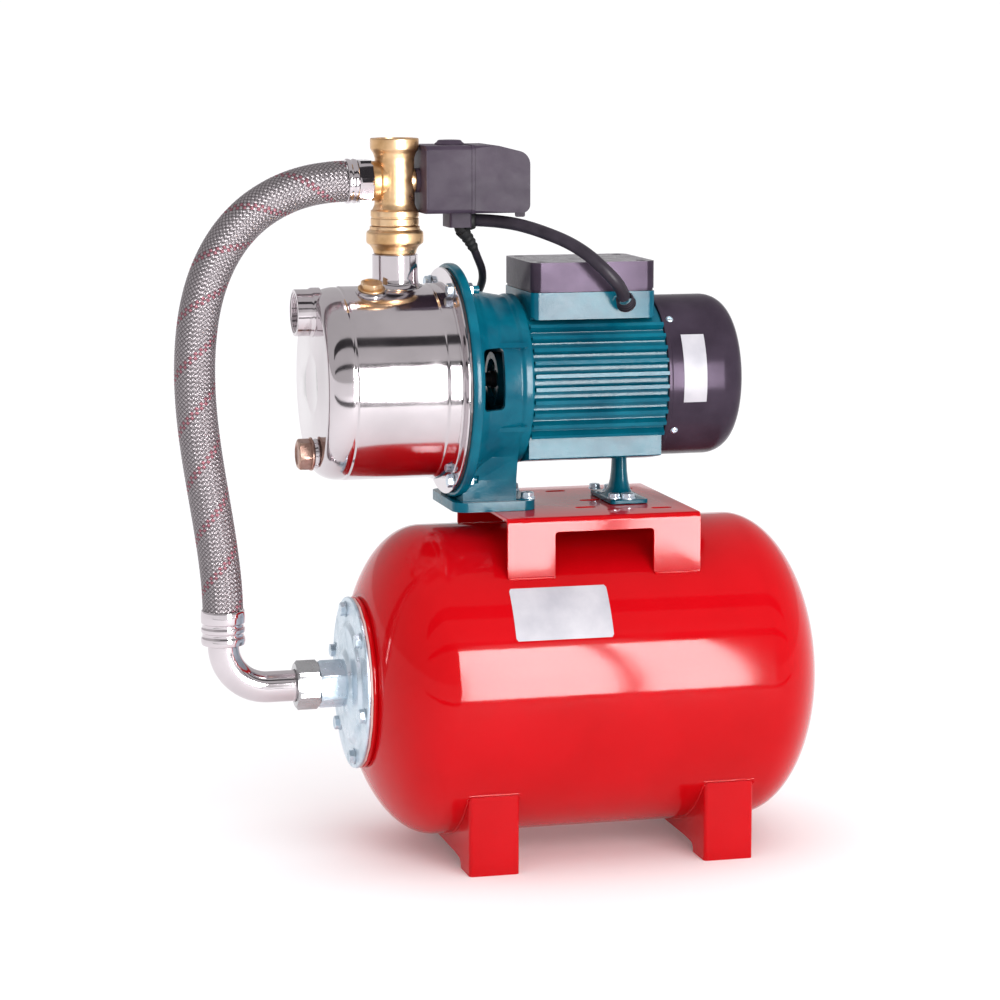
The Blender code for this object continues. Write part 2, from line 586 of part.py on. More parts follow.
def build_motor(stand, rotor):
    axis = (0, 0, AXIS_Z)
    bearing("front_bearing", -0.0740, -0.0630, stand)
    bearing("rear_bearing", 0.0557, 0.0660, stand)
    frame = prism("motor_frame", fin_outline(), "X", FRAME_FRONT, FRAME_REAR, TEAL, axis, stand)
    cut(frame, cylinder("frame_bore_cutter", 0.0628, "X", -0.07, 0.07, axis, stand, 40))

    core = [(-0.035, 0.0352), (-0.035, 0.0620), (0.037, 0.0620), (0.037, 0.0352)]
    stator = turned("stator_core", core, STEEL, axis, stand, steps=32)
    slots = bmesh.new()
    bars = bmesh.new()
    for slot in range(12):
        for bm, half_width, low, high, end in ((slots, 0.0034, 0.0385, 0.0505, 0.05), (bars, 0.0030, 0.0390, 0.0500, 0.0385)):
            verts = add_box(bm, (-end, -half_width, low), (end, half_width, high))
            bmesh.ops.rotate(bm, verts=verts, cent=(0, 0, 0), matrix=rotation_x(30 * slot + 15))
    cut(stator, make_object("slot_cutter", slots, None, axis, stand))
    front = [(-0.0520, 0.0370), (-0.0520, 0.0560), (-0.0360, 0.0560), (-0.0360, 0.0370)]
    winding = turned("stator_winding", front, COPPER, axis, stand, steps=24)
    rear = [(0.0380, 0.0370), (0.0380, 0.0560), (0.0530, 0.0560), (0.0530, 0.0370)]
    join(winding, make_object("bar_addition", bars, None, axis, stand))
    join(winding, turned("rear_winding_addition", rear, None, axis, stand, steps=24))

    cage = [(-0.037, SHAFT_R + GAP), (-0.037, 0.0342), (0.039, 0.0342), (0.039, SHAFT_R + GAP)]
    turned("rotor_core", cage, STEEL, (0, 0, 0), rotor, steps=32)
    shaft = [(-0.1600, 0), (-0.1600, 0.0037), (-0.1503, 0.0037), (-0.1503, 0.0060), (-0.0800, 0.0060)]
    shaft += [(-0.0800, SHAFT_R), (0.0690, SHAFT_R), (0.0690, 0.0058), (0.1150, 0.0058), (0.1150, 0)]
    turned("shaft", shaft, STEEL, (0, 0, 0), rotor, steps=20)

    start = FRAME_REAR + GAP
    shield = [(start, 0.0674), (0.0650, 0.0674), (0.0650, 0.0240), (0.0678, 0.0240), (0.0678, 0.0088)]
    shield += [(0.0664, 0.0088), (0.0664, BEARING_R + GAP), (0.0545, BEARING_R + GAP), (0.0545, 0.0232)]
    shield += [(start, 0.0232)]
    turned("rear_end_shield", shield, TEAL, axis, stand, steps=24)

    back_plate = [(0.0815, 0.0061), (0.0815, 0.0590), (0.0832, 0.0590), (0.0832, 0.0125), (0.1080, 0.0120)]
    back_plate += [(0.1080, 0.0061)]
    fan = turned("fan", back_plate, BLACK, (0, 0, 0), rotor, steps=24)
    blades = bmesh.new()
    for blade in range(8):
        verts = add_box(blades, (0.0825, -0.0009, 0.0100), (0.1040, 0.0009, 0.0580))
        bmesh.ops.rotate(blades, verts=verts, cent=(0, 0, 0), matrix=rotation_x(45 * blade))
    join(fan, make_object("blade_addition", blades, None, (0, 0, 0), rotor))

    cover = [(0.0610, 0.0680), (0.0610, 0.0700)] + arc((0.1100, 0.0500), (0.0220, 0.0200), 90, 0, 5)
    cover += [(0.1320, 0), (0.1300, 0)] + arc((0.1100, 0.0500), (0.0200, 0.0180), 0, 90, 4)
    fan_cover = turned("fan_cover", cover, PLUM, axis, stand, steps=36)
    slits = bmesh.new()
    for slit in range(12):
        verts = add_box(slits, (0.122, -0.0019, 0.0150), (0.145, 0.0019, 0.0480))
        bmesh.ops.rotate(slits, verts=verts, cent=(0, 0, 0), matrix=rotation_x(30 * slit))
    cut(fan_cover, make_object("grille_cutter", slits, None, axis, stand))

    pedestal = [(-0.0165, PLATE_TOP + 0.001), (0.0165, PLATE_TOP + 0.001), (0.0165, PLATE_TOP + 0.0035)]
    pedestal += [(0.0110, 0.3100), (0.0075, 0.3200), (0.0060, 0.3414), (-0.0060, 0.3414), (-0.0075, 0.3200)]
    pedestal += [(-0.0110, 0.3100), (-0.0165, PLATE_TOP + 0.0035)]
    support = prism("motor_support_foot", pedestal, "Y", -0.016, 0.016, TEAL, (0.0375, 0, 0), stand)
    base = [((-0.0170, -0.034, PLATE_TOP + GAP), (0.0170, 0.034, PLATE_TOP + 0.0040))]
    join(support, boxes("support_base_addition", base, None, (0.0375, 0, 0), stand))


def build_terminal_box(stand):
    axis = (0, 0, AXIS_Z)
    low, high = (-0.0555, -0.052), (0.0540, 0.043)
    joint_z = 0.4900
    base = prism("terminal_box_base", rounded_rectangle(low, high, 0.006), "Z", 0.4670, joint_z, TEAL, (0, 0, 0), stand)
    cut(base, cylinder("box_saddle_cutter", FRAME_R + 0.0004, "X", -0.08, 0.08, axis, stand, 72))
    tray = [((-0.0520, -0.0485, 0.4838), (0.0505, 0.0395, 0.52))]
    cut(base, boxes("tray_cutter", tray, None, (0, 0, 0), stand))
    cut(base, fin_clearance(stand))
    outline = rounded_rectangle(low, high, 0.008)
    cover = prism("terminal_box_cover", outline, "Z", joint_z + GAP, 0.5155, PLUM, (0, 0, 0), stand)
    soften = cover.modifiers.new("soft_edges", "BEVEL")
    soften.width = 0.004
    soften.segments = 2
    soften.limit_method = "WEIGHT"
    weights = cover.data.attributes.new("bevel_weight_edge", "FLOAT", "EDGE")
    for edge in cover.data.edges:
        ends = [cover.data.vertices[v].co.z for v in edge.vertices]
        weights.data[edge.index].value = 1.0 if min(ends) > 0.515 else 0.0
    room = [((-0.0525, -0.0490, 0.48), (0.0510, 0.0400, 0.5130))]
    cut(cover, boxes("cover_room_cutter", room, None, (0, 0, 0), stand))
    can = [(-0.034, 0), (-0.034, 0.0138), (0.030, 0.0138), (0.030, 0)]
    turned("capacitor", can, RESIN, (0, 0.0185, 0.4981), stand, steps=20)
    block = [((-0.030, -0.036, 0.4842), (0.012, -0.014, 0.4960))]
    boxes("terminal_block", block, RESIN, (0, 0, 0), stand)

    boot = [(0, 0), (0, 0.0105), (0.0050, 0.0105), (0.0065, 0.0088), (0.0240, 0.0074), (0.0240, 0)]
    gland = turned("motor_cable_gland", boot, BLACK, LEAD_GLAND, stand, "Z", 16)
    aim(gland, LEAD_GLAND_DIRECTION)
    wall = [((0.0, -0.0522 - GAP + 0.0003, 0.44), (0.07, -0.02, 0.52))]
    cut(gland, boxes("gland_wall_cutter", wall, None, (0, -GAP, 0), stand))


def fin_clearance(stand):
    """Clears the box's skirts from the upper fins."""
    half = math.radians(39)
    far = 0.2
    wedge = []
    for side in (1, -1):
        edge = (side * far * math.sin(half), far * math.cos(half))
        wedge.append((edge, side))
    ring = [(-0.08, FRAME_R + 0.0004), (-0.08, FIN_R + 0.0004), (0.08, FIN_R + 0.0004), (0.08, FRAME_R + 0.0004)]
    band = turned("fin_band_cutter", ring, None, (0, 0, AXIS_Z), stand, steps=48)
    top = prism("fin_band_keep", [wedge[0][0], (0, 0), wedge[1][0]], "X", -0.09, 0.09, None, (0, 0, AXIS_Z), stand)
    cut(band, top)
    return band


LEAD_GLAND = (0.0310, -0.0500, 0.4725)
LEAD_GLAND_DIRECTION = (-0.42, -0.70, 0.58)


# ---------------------------------------------------------------- brass fittings
def build_fittings(stand, poppet_rod):
    middle = (NECK_X, 0, 0)
    joint = 0.5455
    body = [(0.5085, 0.0115), (0.5085, 0.0165), (0.5223, 0.0165), (0.5223, 0.0180), (0.5285, 0.0205)]
    body += [(0.5320, 0.0243), (0.5410, 0.0243), (joint, 0.0215), (joint, 0.0166), (0.5350, 0.0166), (0.5350, 0.0115)]
    turned("check_valve_body", body, BRASS, middle, stand, "Z", 24)
    poppet = [(0.5353, 0), (0.5353, 0.0145), (0.5372, 0.0145), (0.5385, 0.0080), (0.5400, 0.0026)]
    poppet += [(0.5525, 0.0026), (0.5525, 0)]
    turned("check_valve_poppet", poppet, RESIN, (0, 0, 0), poppet_rod, "Z", 24)
    spring_coil("check_valve_spring", 0.0128, 0.0005, 0.5380, 0.5590, 5, middle, stand)

    outline = [(joint + GAP, 0), (joint + GAP, 0.0205), (0.5585, 0.0205), (0.5595, 0.0190), (0.5640, 0.0172)]
    outline += [(0.6040, 0.0168), (0.6110, 0.0207), (0.6200, 0.0207), (0.6200, 0)]
    manifold = turned("manifold", outline, BRASS, middle, stand, "Z", 24)
    arm = [(-0.165, 0), (-0.165, 0.0165), (-0.1840, 0.0165), (-0.1840, 0.0150), (-0.1932, 0.0150), (-0.1932, 0)]
    join(manifold, turned("arm_addition", arm, None, (0, 0, PORT_Z), stand, "X", 20))
    join(manifold, cylinder("switch_boss_addition", 0.0105, "X", -0.165, SWITCH_X[0] - 0.0040, (0, 0, PORT_Z), stand, 16))
    gauge = (NECK_X, 0, PORT_Z)
    join(manifold, cylinder("gauge_boss_addition", 0.0100, "Y", 0.002, 0.0255, gauge, stand, 16))
    bore = [(0.54, 0), (0.54, 0.0166), (0.5600, 0.0166), (0.5600, 0.0115), (0.6020, 0.0115), (0.6020, 0.0155)]
    bore += [(0.63, 0.0155), (0.63, 0)]
    cut(manifold, turned("manifold_bore_cutter", bore, None, middle, stand, "Z", 20))
    cut(manifold, cylinder("arm_bore_cutter", 0.0110, "X", -0.20, -0.165, (0, 0, PORT_Z), stand, 16))
    cut(manifold, cylinder("switch_bore_cutter", 0.0048, "X", -0.165, -0.13, (0, 0, PORT_Z), stand, 12))
    cut(manifold, cylinder("gauge_bore_cutter", 0.0060, "Y", 0, 0.03, gauge, stand, 12))
    plug = [(0.0130, 0), (0.0130, 0.0056), (0.0258, 0.0056), (0.0258, 0.0085, "hex"), (0.0310, 0.0085, "hex"), (0.0310, 0)]
    turned("gauge_port_plug", plug, BRASS, gauge, stand, "Y", 12)


def spring_coil(name, radius, wire, bottom, top, turns, origin, stand):
    """A helical spring with five-sided wire."""
    bm = bmesh.new()
    steps = turns * 10
    rings = []
    for i in range(steps + 1):
        a = 2 * math.pi * turns * i / steps
        middle_z = bottom + wire + (top - bottom - 2 * wire) * i / steps
        ring = []
        for k in range(5):
            b = 2 * math.pi * k / 5
            reach = radius + wire * math.cos(b)
            ring.append(bm.verts.new((reach * math.cos(a), reach * math.sin(a), middle_z + wire * math.sin(b))))
        rings.append(ring)
    for first, second in zip(rings, rings[1:]):
        for k in range(5):
            bm.faces.new((first[k], first[(k + 1) % 5], second[(k + 1) % 5], second[k]))
    bm.faces.new(rings[0])
    bm.faces.new(rings[-1])
    return make_object(name, bm, STEEL, origin, stand)


def pipe(name, path, finish, origin, parent, steps=20):
    """A bent tube in the X-Z plane; path holds (x, z, direction in degrees, outer radius, inner radius)."""
    bm = bmesh.new()
    outer_rings, inner_rings = [], []
    for x, z, heading, outer, inner in path:
        a = math.radians(heading)
        across = Vector((-math.sin(a), 0, math.cos(a)))
        for rings, radius in ((outer_rings, outer), (inner_rings, inner)):
            ring = []
            for step in range(steps):
                b = 2 * math.pi * step / steps
                offset = across * radius * math.cos(b) + Vector((0, radius * math.sin(b), 0))
                ring.append(bm.verts.new(Vector((x, 0, z)) + offset))
            rings.append(ring)
    for rings in (outer_rings, inner_rings):
        for first, second in zip(rings, rings[1:]):
            for k in range(steps):
                j = (k + 1) % steps
                bm.faces.new((first[k], first[j], second[j], second[k]))
    for end in (0, -1):
        for k in range(steps):
            j = (k + 1) % steps
            bm.faces.new((outer_rings[end][k], outer_rings[end][j], inner_rings[end][j], inner_rings[end][k]))
    return make_object(name, bm, finish, origin, parent)


def build_hose(stand):
    upper_nut = [(-0.1843, 0.0154), (-0.1843, 0.0205, "hex"), (-0.1962, 0.0205, "hex"), (-0.1962, 0.0141)]
    upper_nut += [(-0.1948, 0.0141), (-0.1948, 0.0154)]
    turned("hose_upper_nut", upper_nut, STAINLESS, (0, 0, PORT_Z), stand, steps=24)
    sleeve = [(-0.1935, 0.0105), (-0.1935, 0.0150), (-0.1945, 0.0150), (-0.1945, 0.0138), (-0.1965, 0.0138)]
    sleeve += [(-0.1965, 0.0185), (-0.1990, 0.0190), (-0.2050, 0.0190), (-0.2050, 0.0105)]
    turned("hose_upper_ferrule", sleeve, STAINLESS, (0, 0, PORT_Z), stand, steps=24)

    nut = [(-0.2333, 0.0154), (-0.2333, 0.0214, "hex"), (-0.2534, 0.0214, "hex"), (-0.2534, 0.0141)]
    nut += [(-0.2506, 0.0141), (-0.2506, 0.0154)]
    turned("hose_swivel_nut", nut, STAINLESS, (0, 0, TANK_Z), stand, steps=24)
    corner_x = ELBOW_X + ELBOW_BEND
    outer, inner = 0.0135, 0.0112
    path = [(-0.2488, 0, 180, 0.0151, inner), (-0.2503, 0, 180, 0.0151, inner), (-0.2503, 0, 180, outer, inner)]
    for i in range(7):
        a = math.radians(90 * i / 6)
        x, z = corner_x - ELBOW_BEND * math.sin(a), ELBOW_BEND * (1 - math.cos(a))
        path.append((x, z, 180 - 90 * i / 6, outer, inner))
    path.append((ELBOW_X, 0.0640, 90, outer, inner))
    pipe("hose_elbow", path, STAINLESS, (0, 0, TANK_Z), stand)
    crimp = [(0.1895, 0.0138), (0.1895, 0.0160), (0.1910, 0.0186), (0.1960, 0.0192), (0.1985, 0.0182)]
    crimp += [(0.2060, 0.0182), (0.2085, 0.0192), (0.2140, 0.0192), (0.2160, 0.0184), (0.2197, 0.0184), (0.2197, 0.0138)]
    turned("hose_lower_ferrule", crimp, STAINLESS, (ELBOW_X, 0, 0), stand, "Z", 24)

    cord("braided_hose", HOSE_ROUTE, HOSE_R, 4, 0.018, BRAID, stand)


# The hose's route from the manifold to the elbow, all in the plane of the pump's axis.
HOSE_ROUTE = [(x, 0, z) for x, z in (
    (-0.2066, 0.5840), (-0.2200, 0.5832), (-0.2370, 0.5806), (-0.2545, 0.5754), (-0.2712, 0.5675),
    (-0.2868, 0.5569), (-0.3003, 0.5438), (-0.3114, 0.5288), (-0.3203, 0.5122), (-0.3270, 0.4945),
    (-0.3317, 0.4760), (-0.3346, 0.4572), (-0.3362, 0.4380), (-0.3366, 0.4188), (-0.3360, 0.3995),
    (-0.3345, 0.3800), (-0.3322, 0.3600), (-0.3294, 0.3400), (-0.3263, 0.3200), (-0.3232, 0.3000),
    (-0.3203, 0.2800), (-0.3178, 0.2600), (-0.3160, 0.2400), (-0.3152, 0.2209),
)]


# ---------------------------------------------------------------- pressure switch
def build_switch(stand, plunger_rod, lever_pin):
    """A box on its side: the base carries the diaphragm port and the mechanism, the cover closes it."""
    low_z, high_z = SWITCH_Z
    left, right = SWITCH_X
    half = SWITCH_HALF
    middle_z = (low_z + high_z) / 2
    section = rounded_rectangle((-half, low_z), (half, high_z), 0.004)
    base = prism("switch_base", section, "X", left, SWITCH_JOINT, PLUM, (0, 0, 0), stand)
    snout = [((-0.1180, -0.014, 0.5440), (-0.0986, 0.014, low_z - GAP))]
    join(base, boxes("snout_addition", snout, None, (0, 0, 0), stand))
    neck = [((-0.1170, -0.013, 0.5450), (SWITCH_JOINT, 0.013, low_z + 0.002))]
    join(base, boxes("snout_neck_addition", neck, None, (0, 0, 0), stand))
    socket = cylinder("socket_addition", 0.0105, "X", left - 0.0037, left + 0.004, (0, 0, PORT_Z), stand, 16)
    join(base, socket)
    knob = [(high_z - 0.002, 0), (high_z - 0.002, 0.0125), (high_z + 0.0025, 0.0120), (high_z + 0.0042, 0.0080)]
    knob += [(high_z + 0.0042, 0)]
    join(base, turned("knob_addition", knob, None, (-0.1150, 0, 0), stand, "Z", 20))
    room = [((left + 0.003, -half + 0.0025, low_z + 0.0025), (SWITCH_JOINT + 0.01, half - 0.0025, high_z - 0.0025))]
    cut(base, boxes("base_room_cutter", room, None, (0, 0, 0), stand))
    cut(base, cylinder("socket_bore_cutter", 0.0048, "X", -0.15, left + 0.01, (0, 0, PORT_Z), stand, 12))
    joint = SWITCH_JOINT + GAP
    outline = [(joint, low_z)] + arc((right - 0.007, low_z + 0.007), (0.007, 0.007), 270, 360, 4)
    outline += arc((right - 0.012, high_z - 0.0165), (0.012, 0.012), 0, 78, 5) + [(-0.0800, high_z), (joint, high_z)]
    cover = prism("switch_cover", outline, "Y", -half, half, PLUM, (0, 0, 0), stand)
    inner = [(SWITCH_JOINT - 0.01, low_z + 0.0025), (right - 0.0025, low_z + 0.0025), (right - 0.0025, high_z - 0.0165)]
    inner += [(right - 0.0100, high_z - 0.0080), (-0.0800, high_z - 0.0026), (SWITCH_JOINT - 0.01, high_z - 0.0026)]
    cut(cover, prism("cover_space_cutter", inner, "Y", -half + 0.0025, half - 0.0025, None, (0, 0, 0), stand))
    plunger = [(0.0022, 0), (0.0022, 0.0085), (0.0042, 0.0085), (0.0042, 0.0035), (0.0135, 0.0035), (0.0135, 0)]
    turned("switch_plunger", plunger, STEEL, (0, 0, 0), plunger_rod, "X", 16)
    arm = [(-0.0012, 0.0012), (-0.0012, -0.0210), (0.0012, -0.0210), (0.0012, -0.0012), (0.0230, -0.0012)]
    prism("contact_lever", arm + [(0.0230, 0.0012)], "Y", -0.007, 0.007, BRASS, (0, 0, 0), lever_pin)
    spring_coil("range_spring", 0.0055, 0.0006, middle_z + 0.0056, high_z - 0.0028, 5, (-0.1060, 0, 0), stand)


# ---------------------------------------------------------------- cables
# The motor lead, from the switch's underside to the gland on the terminal box.
LEAD_ROUTE = [
    (-0.0950, -0.0043, 0.5498), (-0.0880, -0.0090, 0.5497), (-0.0765, -0.0185, 0.5490),
    (-0.0650, -0.0290, 0.5474), (-0.0536, -0.0395, 0.5444), (-0.0415, -0.0495, 0.5399),
    (-0.0295, -0.0590, 0.5345), (-0.0195, -0.0665, 0.5285), (-0.0105, -0.0725, 0.5215),
    (-0.0030, -0.0772, 0.5142), (0.0042, -0.0797, 0.5068), (0.0110, -0.0788, 0.4996),
    (0.0165, -0.0740, 0.4930), (0.0206, -0.0672, 0.4868),
]
# The mains cord: down from the switch, round behind the bracket, down the tank's back to the floor.
CORD_ROUTE = [
    (-0.1035, 0.0042, 0.5408), (-0.0985, 0.0068, 0.5355),
    (-0.0916, 0.0110, 0.5256), (-0.0856, 0.0170, 0.5147), (-0.0806, 0.0240, 0.5056),
    (-0.0776, 0.0330, 0.4968), (-0.0768, 0.0430, 0.4890), (-0.0774, 0.0545, 0.4800),
    (-0.0778, 0.0680, 0.4650), (-0.0765, 0.0815, 0.4400), (-0.0730, 0.0945, 0.4050),
    (-0.0680, 0.1050, 0.3650), (-0.0620, 0.1150, 0.3250), (-0.0550, 0.1250, 0.2850),
    (-0.0475, 0.1345, 0.2400), (-0.0390, 0.1430, 0.1950), (-0.0290, 0.1490, 0.1500),
    (-0.0185, 0.1525, 0.1050), (-0.0080, 0.1545, 0.0620), (0.0040, 0.1560, 0.0290),
    (0.0180, 0.1572, 0.0110), (0.0340, 0.1582, 0.0042), (0.0520, 0.1586, 0.0038),
]


def build_cables(stand):
    cord("motor_lead", LEAD_ROUTE, LEAD_R, 3, 0.012, BLACK, stand)
    cord("mains_cord", CORD_ROUTE, CORD_R, 1, 0.016, BLACK, stand)
    middle = (*COIL_MIDDLE, 0)
    ring = [(0.0003, COIL_R - 0.0072), (0.0003, COIL_R + 0.0072), (0.0072, COIL_R + 0.0080)]
    ring += [(0.0130, COIL_R + 0.0050), (0.0138, COIL_R), (0.0130, COIL_R - 0.0050), (0.0072, COIL_R - 0.0080)]
    turned("mains_coil", ring, BLACK, middle, stand, "Z", 32)
    plug = [(0, 0), (0, 0.0046), (0.020, 0.0060), (0.026, 0.0120), (0.034, 0.0178), (0.050, 0.0178), (0.0525, 0.0160)]
    plug += [(0.0525, 0)]
    body = turned("mains_plug", plug, BLACK, (COIL_MIDDLE[0] - 0.0325, COIL_MIDDLE[1] + COIL_R, 0.0181), stand, "X", 20)
    body.rotation_euler = (0, 0, math.radians(180))
    pins = bmesh.new()
    for side in (-1, 1):
        start = len(pins.verts)
        turn_mesh(pins, [(0.050, 0), (0.050, 0.0024), (0.0715, 0.0024), (0.0715, 0)], "X", 8)
        pins.verts.ensure_lookup_table()
        bmesh.ops.translate(pins, vec=(0, side * 0.0095, 0), verts=pins.verts[start:])
    pair = make_object("pin_addition", pins, None, (0, 0, 0), body)
    join(body, pair)


# ---------------------------------------------------------------- the whole set
def build():
    clear_scene()
    stand = make_empty("stand", (STAND_X, 0, 0))
    rotor = make_empty("rotor_axis", (0, 0, AXIS_Z), stand)
    poppet_rod = make_empty("poppet_axis", (NECK_X, 0, 0), stand)
    middle_z = sum(SWITCH_Z) / 2
    plunger_rod = make_empty("plunger_axis", (SWITCH_X[0] + 0.003, 0, middle_z - 0.008), stand)
    lever_pin = make_empty("lever_pin", (-0.1235, 0, middle_z + 0.004), stand)
    build_tank(stand)
    build_feet(stand)
    build_platform(stand)
    build_casing(stand)
    build_hydraulics(stand, rotor)
    build_bracket(stand)
    build_motor(stand, rotor)
    build_terminal_box(stand)
    build_fittings(stand, poppet_rod)
    build_hose(stand)
    build_switch(stand, plunger_rod, lever_pin)
    build_cables(stand)


build()
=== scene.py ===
"""Looks of the jet pump set: cables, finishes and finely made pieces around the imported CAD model.

Lengths are metres. Along X they are measured from the middle of the tank, which stands at STAND_X.
"""

import json
import math

import bmesh
import bpy
from mathutils import Matrix, Vector, noise


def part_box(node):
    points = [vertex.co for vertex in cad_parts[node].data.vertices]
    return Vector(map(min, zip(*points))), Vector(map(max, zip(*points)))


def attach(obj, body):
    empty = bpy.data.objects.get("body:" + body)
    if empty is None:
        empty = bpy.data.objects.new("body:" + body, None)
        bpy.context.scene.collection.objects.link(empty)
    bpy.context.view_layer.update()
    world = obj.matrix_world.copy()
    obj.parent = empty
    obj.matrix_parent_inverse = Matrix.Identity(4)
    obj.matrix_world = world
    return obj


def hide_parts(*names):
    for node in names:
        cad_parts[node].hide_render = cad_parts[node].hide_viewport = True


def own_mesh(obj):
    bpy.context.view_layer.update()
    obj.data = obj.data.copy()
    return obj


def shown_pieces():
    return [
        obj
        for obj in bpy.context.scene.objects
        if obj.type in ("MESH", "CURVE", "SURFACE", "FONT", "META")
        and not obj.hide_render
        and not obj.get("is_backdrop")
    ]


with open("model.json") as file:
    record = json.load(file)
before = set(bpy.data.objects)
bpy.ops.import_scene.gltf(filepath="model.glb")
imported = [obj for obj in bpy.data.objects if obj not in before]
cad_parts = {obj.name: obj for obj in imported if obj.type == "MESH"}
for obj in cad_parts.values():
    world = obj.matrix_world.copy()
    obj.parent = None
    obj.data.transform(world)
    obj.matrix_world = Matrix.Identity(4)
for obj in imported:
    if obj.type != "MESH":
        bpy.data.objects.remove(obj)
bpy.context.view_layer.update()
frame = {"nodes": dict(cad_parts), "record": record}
PLATE_LOW, PLATE_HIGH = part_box("pump_platform")
STAND_X = (PLATE_LOW.x + PLATE_HIGH.x) / 2 + 0.0015
STAND = Vector((STAND_X, 0, 0))

# ---------------------------------------------------------------- dimensions shared with the CAD model
TANK_Z, TANK_R, TANK_HALF, DOME = 0.151, 0.135, 0.138, 0.069
FLANGE_FACE, FLANGE_R = -0.205, 0.0745
FOOT_X, FOOT_WIDTH, FOOT_DEPTH, SHEET = (-0.103, 0.106), 0.044, 0.108, 0.003
PLATE_X, PLATE_HALF, PLATE_DEPTH, PLATE_TOP = -0.0015, 0.0855, 0.090, 0.303
PLATE_BAND, PLATE_LEG = 0.0125, 0.042
AXIS_Z, CASING_R = 0.412, 0.083
CASING_FLANGE, BRACKET_FACE = -0.1204, -0.118
BOLT_PCD_R, BOLT_ANGLE = 0.0912, 27
SUCTION_Z, NECK_X, NECK_TOP = AXIS_Z + 0.0613, -0.163, 0.522
DRAIN_Y, DRAIN_Z = -0.014, AXIS_Z - 0.058
PRIMING_X, PRIMING_TILT = -0.189, 17
FRAME_FRONT, FRAME_REAR, FRAME_R, FIN_R = -0.058, 0.060, 0.0685, 0.0750
HOSE_R, PORT_Z, ELBOW_X, ELBOW_BEND = 0.0175, 0.584, -0.3152, 0.038
SWITCH_X, SWITCH_Z, SWITCH_HALF, SWITCH_JOINT = (-0.142, -0.0515), (0.5568, 0.614), 0.030, -0.100
CORD_R, LEAD_R = 0.0035, 0.0055
COIL_MIDDLE, COIL_R = (0.085, 0.1975), 0.039
BRAID_CARRIERS, BRAID_DIVISIONS, BRAID_PITCH, BRAID_PILLOW = 24, 4, 0.00385, 0.0007
LEAD_GLAND, LEAD_GLAND_DIRECTION = (0.0310, -0.0500, 0.4725), (-0.42, -0.70, 0.58)

# ---------------------------------------------------------------- camera, light and floor
CAMERA_AZIMUTH, CAMERA_ELEVATION = math.radians(14.51), math.radians(8.63)
CAMERA_TARGET, CAMERA_DISTANCE, CAMERA_LENS = Vector((-0.0704, 0, 0.3059)) + STAND, 2.7027, 111.74
KEY_Y, KEY_Z, KEY_HEIGHT, KEY_RADIANCE = -1.5, 0.51, 0.98, 42


def add_object(name, data):
    made = bpy.data.objects.new(name, data)
    bpy.context.collection.objects.link(made)
    return made


def set_camera():
    aim = Vector((
        math.sin(CAMERA_AZIMUTH) * math.cos(CAMERA_ELEVATION),
        math.cos(CAMERA_AZIMUTH) * math.cos(CAMERA_ELEVATION),
        -math.sin(CAMERA_ELEVATION),
    ))
    camera = add_object("camera", bpy.data.cameras.new("camera"))
    camera.data.lens, camera.data.sensor_width = CAMERA_LENS, 36
    camera.location = CAMERA_TARGET - aim * CAMERA_DISTANCE
    camera.rotation_mode = "QUATERNION"
    camera.rotation_quaternion = aim.to_track_quat("-Z", "Y")
    bpy.context.scene.camera = camera


def add_panel(name, middle, facing, width, height, radiance, shines="all"):
    """A softbox out of the camera's sight. shines is all, matt (not reflected) or gloss (only reflected)."""
    light = bpy.data.lights.new(name, "AREA")
    light.shape, light.size, light.size_y = "RECTANGLE", width, height
    light.energy = radiance * math.pi * width * height
    lamp = add_object(name, light)
    lamp.location = Vector(middle) + STAND
    lamp.rotation_mode = "QUATERNION"
    lamp.rotation_quaternion = (Vector(facing) - Vector(middle)).to_track_quat("-Z", "Y")
    lamp.visible_camera = False
    lamp.visible_glossy = shines != "matt"
    lamp.visible_diffuse = shines != "gloss"


def add_flag(name, near, far):
    """A black card 6 m wide between two (y, z) edges, seen only in reflections."""
    mesh = bpy.data.meshes.new(name)
    corners = [(-3, *near), (3, *near), (3, *far), (-3, *far)]
    mesh.from_pydata([tuple(Vector(corner) + STAND) for corner in corners], [], [(0, 1, 2, 3)])
    mesh.materials.append(plain_material("card", (0.02, 0.018, 0.022)))
    card = add_object(name, mesh)
    card.visible_camera = card.visible_diffuse = card.visible_shadow = False
    card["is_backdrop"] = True


def plain_material(name, colour, glow=0.0):
    material = bpy.data.materials.new(name)
    material.use_nodes = True
    shader = material.node_tree.nodes["Principled BSDF"]
    shader.inputs["Base Color"].default_value = (*colour, 1)
    shader.inputs["Roughness"].default_value = 0.9
    shader.inputs["Emission Color"].default_value = (1, 1, 1, 1)
    shader.inputs["Emission Strength"].default_value = glow
    return material


